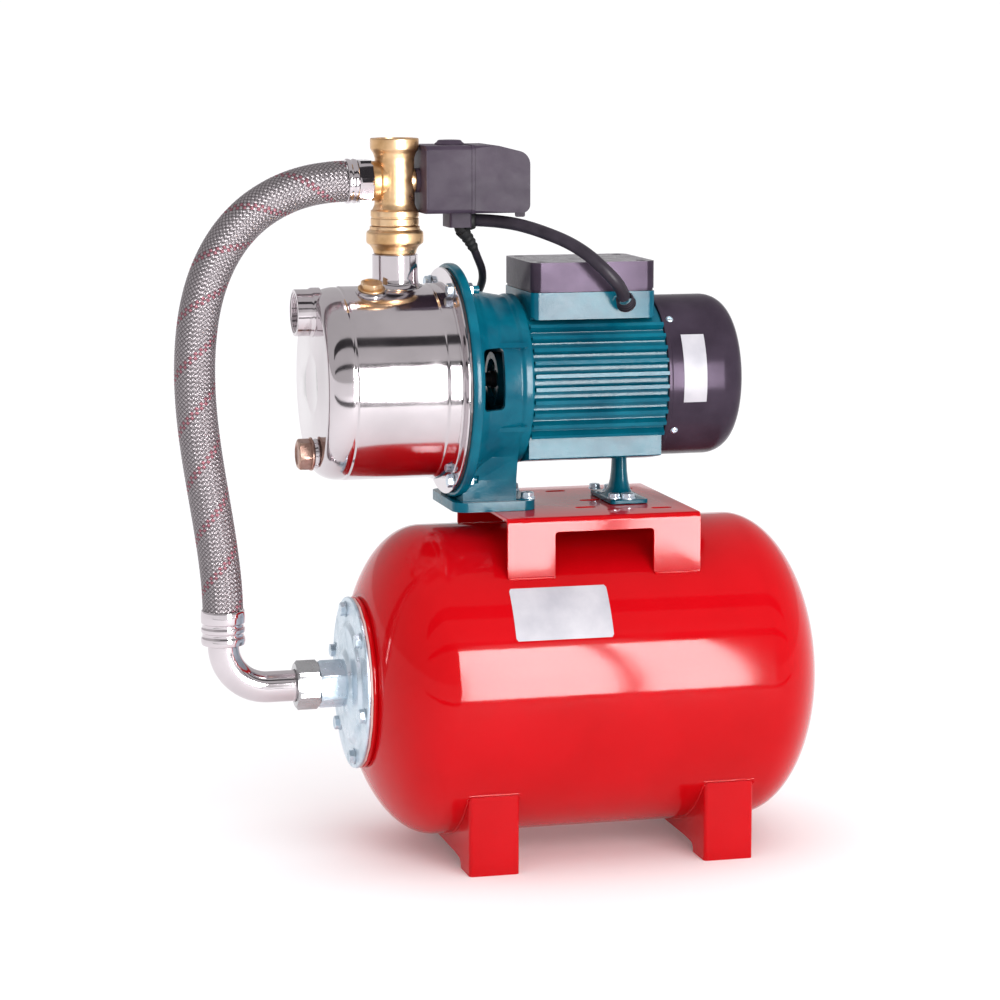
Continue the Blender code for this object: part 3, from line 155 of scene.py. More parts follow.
def set_studio():
    world = bpy.data.worlds.new("studio")
    world.use_nodes = True
    background = world.node_tree.nodes["Background"]
    background.inputs["Color"].default_value = (1.0, 0.99, 1.0, 1)
    background.inputs["Strength"].default_value = 0.60
    bpy.context.scene.world = world
    bpy.context.scene.view_settings.view_transform = "Standard"
    for side, x, width in (("left", 0.271, 0.271), ("right", 0.542, 0.191)):
        add_panel(f"key_{side}_half", (x, KEY_Y, KEY_Z), (x, 0, KEY_Z), width, KEY_HEIGHT, KEY_RADIANCE,
                  "gloss")
    add_panel("brass_key", (0.35, -1.5, 0.75), (0.35, 0, 0.6), 0.30, 0.70, 2.6, "gloss")
    add_panel("front_fill", (0.5, -2.2, 1.1), (0, 0, 0.25), 1.6, 1.4, 3.2, "matt")
    sun = bpy.data.lights.new("overhead", "SUN")
    sun.energy, sun.angle = 1.5, math.radians(80)
    add_object("overhead", sun).visible_glossy = False
    add_flag("high_card", (-1.2, 1.72), (-1.2, 2.50))
    add_flag("upper_card", (-1.5, 1.03), (-1.5, 1.22))
    add_flag("floor_card", (-1.50, 0.004), (-1.05, 0.004))
    paper = bmesh.new()
    rings = []
    for reach in (4, 8, 16, 30, 60, 100):
        circle = [2 * math.pi * k / 48 for k in range(48)]
        height = 0.0012 * max(reach - 4, 0) ** 2
        rings.append([paper.verts.new((reach * math.cos(a), reach * math.sin(a), height)) for a in circle])
    paper.faces.new(rings[0])
    for inner, outer in zip(rings, rings[1:]):
        for k in range(48):
            paper.faces.new((inner[k], outer[k], outer[(k + 1) % 48], inner[(k + 1) % 48]))
    floor = bpy.data.meshes.new("floor")
    paper.to_mesh(floor)
    paper.free()
    floor.materials.append(plain_material("paper", (0.90, 0.90, 0.91), 0.10))
    add_object("floor", floor)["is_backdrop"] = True


# ---------------------------------------------------------------- materials
def add_node(tree, kind, links=None, **settings):
    """A shader node; links maps an input's name to a socket or a value."""
    made = tree.nodes.new(kind)
    for key, value in settings.items():
        setattr(made, key, value)
    for key, value in (links or {}).items():
        if isinstance(value, bpy.types.NodeSocket):
            tree.links.new(value, made.inputs[key])
        else:
            made.inputs[key].default_value = value
    return made


def add_noise(tree, scale, detail=3, stretch=(1, 1, 1)):
    place = add_node(tree, "ShaderNodeTexCoord").outputs["Object"]
    if stretch != (1, 1, 1):
        place = add_node(tree, "ShaderNodeMapping", {"Vector": place, "Scale": stretch}).outputs["Vector"]
    links = {"Vector": place, "Scale": scale, "Detail": detail, "Roughness": 0.55}
    return add_node(tree, "ShaderNodeTexNoise", links).outputs["Fac"]


def add_ramp(tree, factor, stops):
    ramp = add_node(tree, "ShaderNodeValToRGB", {"Fac": factor})
    elements = ramp.color_ramp.elements
    while len(elements) < len(stops):
        elements.new(0.5)
    for element, (position, colour) in zip(elements, stops):
        element.position = position
        element.color = (*colour, 1)
    return ramp.outputs["Color"]


def add_range(tree, value, low, high, from_low=0.3, from_high=0.7):
    links = {"Value": value, "From Min": from_low, "From Max": from_high, "To Min": low, "To Max": high}
    return add_node(tree, "ShaderNodeMapRange", links).outputs["Result"]


def make_material(name, colours, roughness, metallic=0.0, bumps=(), patch=18, specular=0.5, wear=None):
    """colours run from the darker to the lighter patches; bumps are (scale, strength, height, stretch)."""
    material = bpy.data.materials.new(name)
    material.use_nodes = True
    tree = material.node_tree
    shader = tree.nodes["Principled BSDF"]
    patches = add_noise(tree, patch, 5)
    steps = [(0.32 + 0.36 * i / (len(colours) - 1), colour) for i, colour in enumerate(colours)]
    colour = add_ramp(tree, patches, steps)
    if wear:
        edges = add_node(tree, "ShaderNodeNewGeometry").outputs["Pointiness"]
        amount = add_range(tree, edges, 0, wear[1], 0.53, 0.60)
        mix = add_node(tree, "ShaderNodeMix", data_type="RGBA")
        for key, value in zip((0, 6, 7), (amount, colour, (*wear[0], 1))):
            if isinstance(value, bpy.types.NodeSocket):
                tree.links.new(value, mix.inputs[key])
            else:
                mix.inputs[key].default_value = value
        colour = mix.outputs[2]
    tree.links.new(colour, shader.inputs["Base Color"])
    smudges = add_noise(tree, patch * 3.1, 4)
    tree.links.new(add_range(tree, smudges, *roughness), shader.inputs["Roughness"])
    shader.inputs["Metallic"].default_value = metallic
    shader.inputs["Specular IOR Level"].default_value = specular
    normal = None
    for scale, strength, height, stretch in bumps:
        links = {"Strength": strength, "Distance": height, "Height": add_noise(tree, scale, 3, stretch)}
        if normal:
            links["Normal"] = normal
        normal = add_node(tree, "ShaderNodeBump", links).outputs["Normal"]
    if normal:
        tree.links.new(normal, shader.inputs["Normal"])
    return material


EVEN = (1, 1, 1)
FINISHES = {
    "red_paint": dict(
        colours=[(0.52, 0.0015, 0.004), (0.62, 0.0025, 0.007)], roughness=(0.05, 0.09),
        patch=7, specular=0.155, bumps=[(260, 0.03, 0.0006, EVEN), (24, 0.006, 0.003, EVEN)]),
    "teal_paint": dict(
        colours=[(0.001, 0.085, 0.140), (0.002, 0.160, 0.235)], roughness=(0.14, 0.24),
        patch=26, specular=0.15, bumps=[(420, 0.14, 0.0006, EVEN), (60, 0.05, 0.002, EVEN)]),
    "stainless": dict(
        colours=[(0.56, 0.515, 0.535), (0.68, 0.625, 0.65)], roughness=(0.07, 0.13), metallic=1.0,
        patch=12, bumps=[(1, 0.05, 0.0004, (900, 12, 12)), (35, 0.03, 0.002, EVEN)]),
    "steel": dict(
        colours=[(0.42, 0.42, 0.43), (0.56, 0.56, 0.57)], roughness=(0.22, 0.36), metallic=1.0,
        patch=40, bumps=[(1, 0.12, 0.0004, (1200, 30, 30))]),
    "zinc": dict(
        colours=[(0.42, 0.52, 0.60), (0.58, 0.68, 0.76), (0.66, 0.74, 0.82)], roughness=(0.24, 0.40),
        metallic=0.85,
        patch=55, bumps=[(300, 0.10, 0.0006, EVEN)], wear=((0.8, 0.86, 0.92), 0.5)),
    "brass": dict(
        colours=[(0.48, 0.27, 0.11), (0.70, 0.45, 0.24), (0.80, 0.56, 0.34)], roughness=(0.27, 0.42),
        metallic=1.0,
        patch=38, bumps=[(330, 0.16, 0.0007, EVEN)], wear=((0.92, 0.74, 0.50), 0.5)),
    "bronze": dict(
        colours=[(0.34, 0.19, 0.15), (0.52, 0.33, 0.27)], roughness=(0.26, 0.40), metallic=1.0,
        patch=60, bumps=[(500, 0.12, 0.0005, EVEN)], wear=((0.85, 0.65, 0.5), 0.6)),
    "plum_plastic": dict(
        colours=[(0.052, 0.037, 0.058), (0.076, 0.056, 0.082)], roughness=(0.34, 0.46),
        patch=25, specular=0.06, bumps=[(1400, 0.12, 0.0003, EVEN)]),
    "plum_gloss": dict(
        colours=[(0.040, 0.029, 0.044), (0.062, 0.046, 0.068)], roughness=(0.16, 0.24), metallic=0.16,
        patch=25, specular=0.02, bumps=[(1400, 0.08, 0.0003, EVEN)]),
    "black_plastic": dict(
        colours=[(0.026, 0.021, 0.029), (0.044, 0.035, 0.048)], roughness=(0.34, 0.48),
        patch=60, specular=0.15, bumps=[(900, 0.10, 0.0003, EVEN)]),
    # Steel darkened to stand for the shade inside the bracket's window: painted shade; only the roughness is
    # the finish.
    "steel_painted_shade": dict(
        colours=[(0.05, 0.045, 0.05), (0.10, 0.09, 0.095)], roughness=(0.45, 0.60), metallic=0.7,
        patch=60, bumps=[(1, 0.12, 0.0004, (1200, 30, 30))]),
    "rubber": dict(
        colours=[(0.012, 0.012, 0.013), (0.020, 0.019, 0.020)], roughness=(0.60, 0.75),
        patch=80, specular=0.2, bumps=[(700, 0.2, 0.0004, EVEN)]),
    "copper": dict(
        colours=[(0.46, 0.17, 0.07), (0.66, 0.28, 0.13)], roughness=(0.25, 0.40), metallic=0.9,
        patch=120, bumps=[(1, 0.4, 0.0008, (90, 1500, 1500))]),
    "carbon": dict(
        colours=[(0.045, 0.045, 0.050), (0.070, 0.070, 0.076)], roughness=(0.40, 0.55),
        patch=60, bumps=[(800, 0.12, 0.0004, EVEN)]),
    "resin": dict(
        colours=[(0.62, 0.60, 0.52), (0.74, 0.72, 0.65)], roughness=(0.35, 0.50),
        patch=50, bumps=[(600, 0.08, 0.0003, EVEN)]),
    "butyl": dict(
        colours=[(0.62, 0.40, 0.38), (0.74, 0.50, 0.47)], roughness=(0.5, 0.65),
        patch=60, bumps=[(500, 0.2, 0.0004, EVEN)]),
    "label": dict(
        colours=[(0.46, 0.45, 0.50), (0.62, 0.60, 0.64)], roughness=(0.30, 0.40),
        patch=30, specular=0.2, bumps=[(90, 0.03, 0.001, EVEN)]),
}
MATERIALS = {name: make_material(name, **finish) for name, finish in FINISHES.items()}


# ---------------------------------------------------------------- mesh tools
def rounded(points, radius, closed=False, steps=3):
    """Rounds an outline of (height, radius) points, leaving a corner that has a third value."""
    result = []
    count = len(points)
    for i, point in enumerate(points):
        here = Vector(point[:2])
        if len(point) > 2 or (not closed and i in (0, count - 1)):
            result.append(tuple(point))
            continue
        arms = [Vector(points[(i + side) % count][:2]) - here for side in (-1, 1)]
        reach = min(radius, 0.45 * min(arm.length for arm in arms))
        first, last = (here + arm.normalized() * reach for arm in arms)
        for step in range(steps + 1):
            t = step / steps
            result.append(tuple(first * (1 - t) ** 2 + here * 2 * t * (1 - t) + last * t * t))
    return result


def hex_radius(corner, angle):
    turned = (angle + math.pi / 6) % (math.pi / 3) - math.pi / 6
    return corner * math.cos(math.pi / 6) / math.cos(abs(turned) - math.pi / 6)


def along_axis(axis, t, radius, angle):
    across, up = radius * math.sin(angle), radius * math.cos(angle)
    return {"X": (t, across, up), "Y": (across, t, up), "Z": (across, up, t)}[axis]


def turn_mesh(bm, outline, axis="X", steps=96, phase=0.0):
    """Turns an outline of (height, radius) or (height, corner radius, "hex", limit) points about an axis."""
    rings = []
    for point in outline:
        if point[1] < 1e-7:
            rings.append([bm.verts.new(along_axis(axis, point[0], 0, 0))])
            continue
        ring = []
        for step in range(steps):
            angle = 2 * math.pi * step / steps
            reach = point[1]
            if len(point) > 2 and point[2] == "hex":
                reach = min(hex_radius(reach, angle), point[3] if len(point) > 3 else 1)
            ring.append(bm.verts.new(along_axis(axis, point[0], reach, angle + phase)))
        rings.append(ring)
    for first, second in zip(rings, rings[1:] + rings[:1]):
        if len(first) == 1 and len(second) == 1:
            continue
        for step in range(steps):
            after = (step + 1) % steps
            corners = [first[step % len(first)], first[after % len(first)]]
            corners += [second[after % len(second)], second[step % len(second)]]
            bm.faces.new(list(dict.fromkeys(corners)))


def turned(outline, axis="X", steps=96, phase=0.0):
    bm = bmesh.new()
    turn_mesh(bm, outline, axis, steps, phase)
    return bm


def rod(start, end, radius, steps=32, axis="X"):
    return turned([(start, 0), (start, radius), (end, radius), (end, 0)], axis, steps)


def prism(outline, axis, start, end):
    place = {
        "X": lambda t, a, b: (t, a, b),
        "Y": lambda t, a, b: (a, t, b),
        "Z": lambda t, a, b: (a, b, t),
    }[axis]
    bm = bmesh.new()
    first = [bm.verts.new(place(start, a, b)) for a, b in outline]
    last = [bm.verts.new(place(end, a, b)) for a, b in outline]
    bm.faces.new(first)
    bm.faces.new(last)
    for i in range(len(outline)):
        j = (i + 1) % len(outline)
        bm.faces.new((first[i], first[j], last[j], last[i]))
    return bm


def box(low, high):
    bm = bmesh.new()
    for vert in bmesh.ops.create_cube(bm, size=1)["verts"]:
        for i in range(3):
            vert.co[i] = low[i] if vert.co[i] < 0 else high[i]
    return bm


def place_mesh(bm, origin=(0, 0, 0), direction=None, turn=None):
    """Moves a mesh so that its local Z axis points along direction, then to origin."""
    matrix = Matrix.Translation(origin)
    if direction:
        matrix @= Vector(direction).to_track_quat("Z", "Y").to_matrix().to_4x4()
    if turn:
        matrix @= turn
    bm.transform(matrix)
    return bm


def merged(*meshes):
    """Puts several meshes, which stay separate shells, into one."""
    whole = bmesh.new()
    for bm in meshes:
        mesh = bpy.data.meshes.new("part")
        bm.to_mesh(mesh)
        bm.free()
        whole.from_mesh(mesh)
        bpy.data.meshes.remove(mesh)
    return whole


def raw_object(name, bm):
    bmesh.ops.remove_doubles(bm, verts=bm.verts, dist=1e-7)
    bmesh.ops.recalc_face_normals(bm, faces=bm.faces)
    mesh = bpy.data.meshes.new(name)
    bm.to_mesh(mesh)
    bm.free()
    return add_object(name, mesh)


def solid(name, bm, joins=(), cuts=()):
    """A mesh object with its Boolean joins and cuts carried out."""
    piece = raw_object(name, bm)
    tools = []
    for operation, others in (("UNION", joins), ("DIFFERENCE", cuts)):
        for other in others:
            tool = raw_object(name + "_tool", other)
            modifier = piece.modifiers.new("combine", "BOOLEAN")
            modifier.operation = operation
            modifier.object = tool
            tools.append(tool)
    if tools:
        bpy.context.view_layer.update()
        graph = bpy.context.evaluated_depsgraph_get()
        mesh = bpy.data.meshes.new_from_object(piece.evaluated_get(graph))
        piece.modifiers.clear()
        piece.data = mesh
        for tool in tools:
            bpy.data.objects.remove(tool, do_unlink=True)
    return piece


def solid_mesh(bm, cuts):
    """The cut mesh itself, to cut or join with."""
    piece = solid("tool", bm, cuts=cuts)
    made = bmesh.new()
    made.from_mesh(piece.data)
    bpy.data.objects.remove(piece, do_unlink=True)
    return made


def rotated(bm, angle, axis):
    bmesh.ops.rotate(bm, verts=bm.verts, cent=(0, 0, 0), matrix=Matrix.Rotation(angle, 3, axis))
    return bm


def bridge(bm, first, second):
    """Faces between two rings of as many vertices."""
    count = len(first)
    for k in range(count):
        j = (k + 1) % count
        bm.faces.new((first[k], first[j], second[j], second[k]))


def show(piece, material, body="unit", replaces=(), bevel=0.0, smooth=35):
    """Finishes a piece: edge rounding, shading, material, place, and what it rides on and stands for."""
    if bevel:
        modifier = piece.modifiers.new("edges", "BEVEL")
        modifier.width = bevel
        modifier.segments = 2
        modifier.limit_method = "ANGLE"
        modifier.angle_limit = math.radians(38)
        modifier.harden_normals = False
    piece.data.materials.clear()
    piece.data.materials.append(MATERIALS[material])
    if piece.type == "MESH":
        piece.data.shade_smooth()
        piece.data.set_sharp_from_angle(angle=math.radians(smooth))
    piece.location = Vector(piece.location) + STAND
    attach(piece, body)
    if replaces:
        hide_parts(*replaces)
    return piece


def make(name, bm, material, **settings):
    joins, cuts = settings.pop("joins", ()), settings.pop("cuts", ())
    return show(solid(name, bm, joins, cuts), material, **settings)


def rounded_rectangle(low, high, radius, corners=(1, 1, 1, 1), steps=6):
    (x0, y0), (x1, y1) = low, high
    middles = [(x0, y0, 180), (x1, y0, 270), (x1, y1, 0), (x0, y1, 90)]
    outline = []
    for wanted, (x, y, turn) in zip(corners, middles):
        if not wanted:
            outline.append((x, y))
            continue
        cx = x + (radius if x == x0 else -radius)
        cy = y + (radius if y == y0 else -radius)
        for i in range(steps + 1):
            a = math.radians(turn + 90 * i / steps)
            outline.append((cx + radius * math.cos(a), cy + radius * math.sin(a)))
    return outline


def arc(middle, size, start, end, steps):
    angles = [math.radians(start + (end - start) * i / steps) for i in range(steps + 1)]
    return [(middle[0] + size[0] * math.cos(a), middle[1] + size[1] * math.sin(a)) for a in angles]


def tube_mesh(points, radius, sides=16, lumps=0.0):
    """A round tube along points, with one radius or one at each; lumps roughens it, as on a weld bead."""
    bm = bmesh.new()
    count = len(points)
    points = [Vector(p) for p in points]
    rings = []
    normal = None
    for i, point in enumerate(points):
        ahead, behind = points[min(i + 1, count - 1)], points[max(i - 1, 0)]
        tangent = (ahead - behind).normalized()
        if normal is None:
            normal = tangent.orthogonal().normalized()
        normal = (normal - tangent * normal.dot(tangent)).normalized()
        side = tangent.cross(normal)
        reach = (radius if isinstance(radius,
                                      float) else radius[i]) * (1 + lumps * noise.noise(point * 260))
        ring = []
        for k in range(sides):
            a = 2 * math.pi * k / sides
            ring.append(bm.verts.new(point + (normal * math.cos(a) + side * math.sin(a)) * reach))
        rings.append(ring)
    for first, second in zip(rings, rings[1:]):
        bridge(bm, first, second)
    bm.faces.new(rings[0])
    bm.faces.new(rings[-1])
    return bm


def smooth_route(points, spacing):
    """Points close to spacing apart on a smooth curve through the given points (Catmull-Rom)."""
    route = [Vector(p) for p in points]
    ends = [2 * route[0] - route[1]] + route + [2 * route[-1] - route[-2]]
    fine = []
    for before, a, b, after in zip(ends, ends[1:], ends[2:], ends[3:]):
        for i in range(24):
            t = i / 24
            turn = (b - before) * t + (2 * before - 5 * a + 4 * b - after) * t * t
            turn += (3 * a - before - 3 * b + after) * t ** 3
            fine.append(a + turn / 2)
    fine.append(route[-1])
    lengths = [0.0]
    for a, b in zip(fine, fine[1:]):
        lengths.append(lengths[-1] + (b - a).length)
    count = max(2, round(lengths[-1] / spacing))
    even = []
    index = 0
    for i in range(count + 1):
        target = lengths[-1] * i / count
        while index < len(fine) - 2 and lengths[index + 1] < target:
            index += 1
        part = (target - lengths[index]) / max(lengths[index + 1] - lengths[index], 1e-9)
        even.append(fine[index].lerp(fine[index + 1], min(part, 1)))
    return even


def route_length(points):
    return sum((Vector(b) - Vector(a)).length for a, b in zip(points, points[1:]))


def curve_cord(name, points, radius):
    curve = bpy.data.curves.new(name, "CURVE")
    curve.dimensions = "3D"
    curve.bevel_depth = radius
    curve.bevel_resolution = 5
    curve.use_fill_caps = True
    spline = curve.splines.new("POLY")
    spline.points.add(len(points) - 1)
    for target, point in zip(spline.points, points):
        target.co = (*point, 1)
    spline.use_smooth = True
    return add_object(name, curve)


# ---------------------------------------------------------------- fasteners shared by several pieces
def bolt_head(size, height, washer=0.0):
    """A hexagon head standing on its washer, along +Z from the seat at z = 0. size is the corner radius."""
    base = 0.0
    meshes = []
    if washer:
        base = washer
        rim = size * 1.12
        ring = rounded([(0.00005, 0), (0.00005, rim, 1), (washer, rim), (washer, size * 0.5), (washer, 0)],
                       0.0003)
        meshes.append(turned(ring, "Z", 40))
    crown = size * 0.93
    head = [(base, 0), (base, size, "hex", size * 0.98), (base + height * 0.76, size, "hex", size * 0.99)]
    head += [(base + height * 0.90, size, "hex", crown), (base + height, size, "hex", size * 0.80)]
    head += [(base + height, size * 0.55), (base + height * 0.95, size * 0.45), (base + height * 0.95, 0)]
    meshes.append(turned(head, "Z", 72))
    return merged(*meshes)


def hex_nut(size, height, hole):
    nut = [(0, hole), (0, size, "hex", size * 0.93), (height * 0.12, size, "hex", size)]
    nut += [(height * 0.88, size, "hex", size), (height, size, "hex", size * 0.93), (height, hole)]
    return turned(nut, "Z", 72)


def screw_head(size, height):
    """A domed head with a cross recess, along +Z."""
    dome = [(0, 0), (0, size)] + [(height * math.sin(math.radians(a)), size * math.cos(math.radians(a)))
                                  for a in (8, 25, 45, 65, 80)] + [(height, 0)]
    return turned(dome, "Z", 40)


def cross_recess(size, height):
    arms = []
    for turn in (0, 90):
        arm = box((-size * 0.55, -size * 0.12, height * 0.45), (size * 0.55, size * 0.12, height * 1.4))
        arms.append(rotated(arm, math.radians(turn), "Z"))
    return arms


def add_screw(name, place, direction, size, height, material):
    recess = cross_recess(size, height)
    piece = solid(name, screw_head(size, height), cuts=recess)
    piece.rotation_mode = "QUATERNION"
    piece.rotation_quaternion = Vector(direction).to_track_quat("Z", "Y")
    piece.location = place
    return show(piece, material, smooth=40)


def weld_bead(name, points, radius, material="red_paint"):
    return make(name, tube_mesh(points, radius, 10, lumps=0.5), material, smooth=80)


# ---------------------------------------------------------------- pressure tank
def dome(radius, half, depth, start, end, steps, side):
    angles = [math.radians(start + (end - start) * i / steps) for i in range(steps + 1)]
    return [(side * (half + depth * math.cos(a)), radius * math.sin(a)) for a in angles]


def build_tank():
    inner = TANK_R - 0.002
    ring_back, ring_face = FLANGE_FACE + 0.0073, FLANGE_FACE + 0.0053
    outline = dome(TANK_R, TANK_HALF, DOME, 2.9, 90, 34, 1) + dome(TANK_R, TANK_HALF, DOME, 90, 33.5, 24,
                                                                   -1)
    outline += rounded([(-0.1950, FLANGE_R - 0.0015), (ring_back, FLANGE_R - 0.0002), (ring_back, FLANGE_R),
                        (ring_face, FLANGE_R), (ring_face, 0.052)], 0.0008)
    outline += [(ring_face + 0.0037, 0.052)]
    outline += dome(inner, TANK_HALF, DOME - 0.002, 30, 90, 8, -1) + dome(inner, TANK_HALF, DOME - 0.002,
                                                                          90, 2.9, 12, 1)
    shell = solid("tank_shell_fine", turned(outline, "X", 192))
    shell.location.z = TANK_Z
    show(shell, "red_paint", replaces=("tank_shell",), smooth=40)

    face = FLANGE_FACE
    disc = rounded([
        (face + 0.003, 0.0130, 1), (face + 0.003, FLANGE_R), (face, FLANGE_R), (face, 0.0535),
        (face - 0.0032, 0.0485),
        (face - 0.0036, 0.0300), (face - 0.0070, 0.0250), (face - 0.0070, 0.0215)], 0.0012, steps=4)
    disc += [(face - 0.0070, 0.0210, "hex", 0.0205), (face - 0.0085, 0.0210, "hex", 0.0210)]
    disc += [(-0.2315, 0.0210, "hex", 0.0210), (-0.2330, 0.0210, "hex", 0.0196), (-0.2330, 0.0150)]
    thread = []
    for i in range(9):
        thread += [(-0.2334 - i * 0.0016, 0.0150), (-0.2342 - i * 0.0016, 0.0142)]
    disc += thread + [(-0.2485, 0.0146), (-0.2485, 0.0130)]
    flange = solid("tank_flange_fine", turned(disc, "X", 144))
    flange.location.z = TANK_Z
    show(flange, "zinc", replaces=("tank_flange",), smooth=35)
    for i in range(6):
        a = math.radians(15 + 60 * i)
        place = (face - 0.0001, 0.0640 * math.sin(a), TANK_Z + 0.0640 * math.cos(a))
        bolt = rotated(bolt_head(0.0062, 0.0040, 0.0010), 0.6 * i, "Z")
        make(f"flange_bolt_{i + 1}", place_mesh(bolt, place, (-1, 0, 0)), "zinc", smooth=30)

    valve = rounded([(0.196, 0), (0.196, 0.0055), (0.2070, 0.0055), (0.2072, 0.0048), (0.2095, 0.0048),
                     (0.2095, 0)],
                    0.0004)
    stem = solid("air_valve_fine", turned(valve, "X", 40))
    stem.location.z = TANK_Z
    show(stem, "brass", replaces=("air_valve",))
    cap = rounded([(0.2098, 0), (0.2098, 0.0054, 1), (0.2074, 0.0054, 1), (0.2074, 0.0085),
                   (0.2110, 0.0085),
                   (0.2148, 0.0070), (0.2148, 0)], 0.0009)
    ridges = []
    for i in range(16):
        ridge = box((0.2080, -0.0005, 0.0082), (0.2108, 0.0005, 0.0089))
        ridges.append(rotated(ridge, i * math.pi / 8, "X"))
    lid = solid("air_valve_cap_fine", merged(turned(cap, "X", 48), *ridges))
    lid.location.z = TANK_Z
    show(lid, "black_plastic", replaces=("air_valve_cap",))

    angles = (math.radians(23.5), math.radians(44.0))
    add_label("tank_label", 24, 20, -0.0880, -0.0030 + 0.0880, angles, TANK_R + 0.00035, TANK_Z, 0.0016)


def add_label(name, columns, rows, start, width, angles, reach, middle_z, inset=0.0):
    """A blank plate wrapped round the front of a barrel; angles run up from the horizontal."""
    bm = bmesh.new()
    grid = []
    for row in range(rows + 1):
        a = angles[0] + (angles[1] - angles[0]) * row / rows
        line = []
        for column in range(columns + 1):
            x = start + width * column / columns
            if row in (0, rows) and column in (0, columns):
                x += inset if column == 0 else -inset
            line.append(bm.verts.new((x, -reach * math.cos(a), middle_z + reach * math.sin(a))))
        grid.append(line)
    for low, high in zip(grid, grid[1:]):
        for i in range(columns):
            bm.faces.new((low[i], low[i + 1], high[i + 1], high[i]))
    bmesh.ops.solidify(bm, geom=bm.faces[:], thickness=0.0003)
    make(name, bm, "label", smooth=50)


def saddle_points(x, y_from, y_to, steps=24, lift=0.0):
    """Points on the tank's round at one x, between two y values, on its underside."""
    points = []
    for i in range(steps + 1):
        y = y_from + (y_to - y_from) * i / steps
        points.append((x, y, TANK_Z - math.sqrt((TANK_R + lift) ** 2 - y * y)))
    return points


def build_feet():
    inside, deep = FOOT_WIDTH / 2 - SHEET, FOOT_DEPTH - SHEET
    arch = [(-0.078, -0.01), (0.078, -0.01)] + arc((0.070, 0.002), (0.006, 0.006), 0, 90, 4)
    arch += [(0.052, 0.009), (-0.052, 0.009)] + arc((-0.070, 0.002), (0.006, 0.006), 90, 180, 4)
    for name, x in zip(("left_foot", "right_foot"), FOOT_X):
        outer = rounded_rectangle((-FOOT_WIDTH / 2, -FOOT_DEPTH), (FOOT_WIDTH / 2, FOOT_DEPTH), 0.0035)
        inner = rounded_rectangle((-inside, -deep), (inside, deep), 0.0015)
        cuts = [prism(inner, "Z", -0.01, 0.09), prism(arch, "X", -0.03, 0.03)]
        round_tank = rod(-0.14, 0.14, TANK_R + 0.0004, 192)
        cuts.append(place_mesh(round_tank, (0, 0, TANK_Z)))
        foot = solid(name + "_fine", prism(outer, "Z", 0, 0.079), cuts=cuts)
        foot.location.x = x
        show(foot, "red_paint", replaces=(name,), bevel=0.0006)
        edge = FOOT_WIDTH / 2 + 0.0004
        front = -FOOT_DEPTH - 0.0002
        for side in (-1, 1):
            bead = saddle_points(x + side * edge, -FOOT_DEPTH + 0.002, FOOT_DEPTH - 0.002, 60, 0.0002)
            weld_bead(f"{name}_weld_{'left' if side < 0 else 'right'}", bead, 0.0009)
        top = TANK_Z - math.sqrt(TANK_R ** 2 - FOOT_DEPTH ** 2)
        for label, y in (("front", front), ("back", -front)):
            line = [(x - edge + 2 * edge * i / 12, y, top + 0.0004) for i in range(13)]
            weld_bead(f"{name}_weld_{label}", line, 0.0007)


# ---------------------------------------------------------------- platform
def build_platform():
    top, depth, low, bend = PLATE_TOP, PLATE_DEPTH, 0.236, 0.005
    outer = [(-depth, low)] + arc((-depth + bend, top - bend), (bend, bend), 180, 90, 8)
    outer += arc((depth - bend, top - bend), (bend, bend), 90, 0, 8) + [(depth, low)]
    inner_bend = bend - SHEET
    inner = [(depth - SHEET, low)] + arc((depth - bend, top - bend), (inner_bend, inner_bend), 0, 90, 6)
    inner += arc((-depth + bend, top - bend), (inner_bend, inner_bend), 90, 180,
                 6) + [(-depth + SHEET, low)]
    opening = PLATE_HALF - PLATE_LEG
    window = rounded_rectangle((-opening, low - 0.01), (opening, top - PLATE_BAND), 0.003, (0, 0, 1, 1))
    round_tank = rod(-0.14, 0.14, TANK_R + 0.0005, 192)
    cuts = [prism(window, "Y", -0.12, 0.12), place_mesh(round_tank, (0, 0, TANK_Z))]
    for x, y in ((-0.003, 0.058), (0.012, -0.001), (-0.003, -0.040), (0.060, 0.058), (0.060, -0.058)):
        slot = rounded_rectangle((x - 0.009, y - 0.0035), (x + 0.009, y + 0.0035), 0.00345)
        cuts.append(prism(slot, "Z", top - 0.01, top + 0.01))
    plate = solid("pump_platform_fine", prism(outer + inner, "X", -PLATE_HALF, PLATE_HALF), cuts=cuts)
    plate.location.x = PLATE_X
    show(plate, "red_paint", replaces=("pump_platform",), bevel=0.0005)
    foot_z = TANK_Z + math.sqrt(TANK_R ** 2 - PLATE_DEPTH ** 2)
    for number, (first, last) in enumerate(((-PLATE_HALF, -opening), (opening, PLATE_HALF)), 1):
        for label, y in (("front", -depth - 0.0002), ("back", depth + 0.0002)):
            line = [(PLATE_X + first + 0.001 + (last - first - 0.002) * i / 14, y,
                     foot_z + 0.0003) for i in range(15)]
            weld_bead(f"platform_weld_{label}_{number}", line, 0.0012)
    places = ((-0.0545, 0.0200, PLATE_TOP + 0.0085), (-0.0545, -0.0330, PLATE_TOP + 0.0085))
    for number, place in enumerate(places, 1):
        make(f"bracket_sole_bolt_{number}", place_mesh(bolt_head(0.0060, 0.0046, 0.0014), place), "zinc",
             smooth=30)
    for number, y in enumerate((-0.0300, 0.0300), 1):
        place = (0.0240, y, PLATE_TOP + 0.0052)
        make(f"support_foot_bolt_{number}", place_mesh(bolt_head(0.0050, 0.0036, 0.0010), place), "zinc",
             smooth=30)


# ---------------------------------------------------------------- pump casing
def bolt_places():
    a = math.radians(BOLT_ANGLE)
    side, rise = BOLT_PCD_R * math.sin(a), BOLT_PCD_R * math.cos(a)
    return [(-side, rise), (side, rise), (side, -rise), (-side, -rise)]


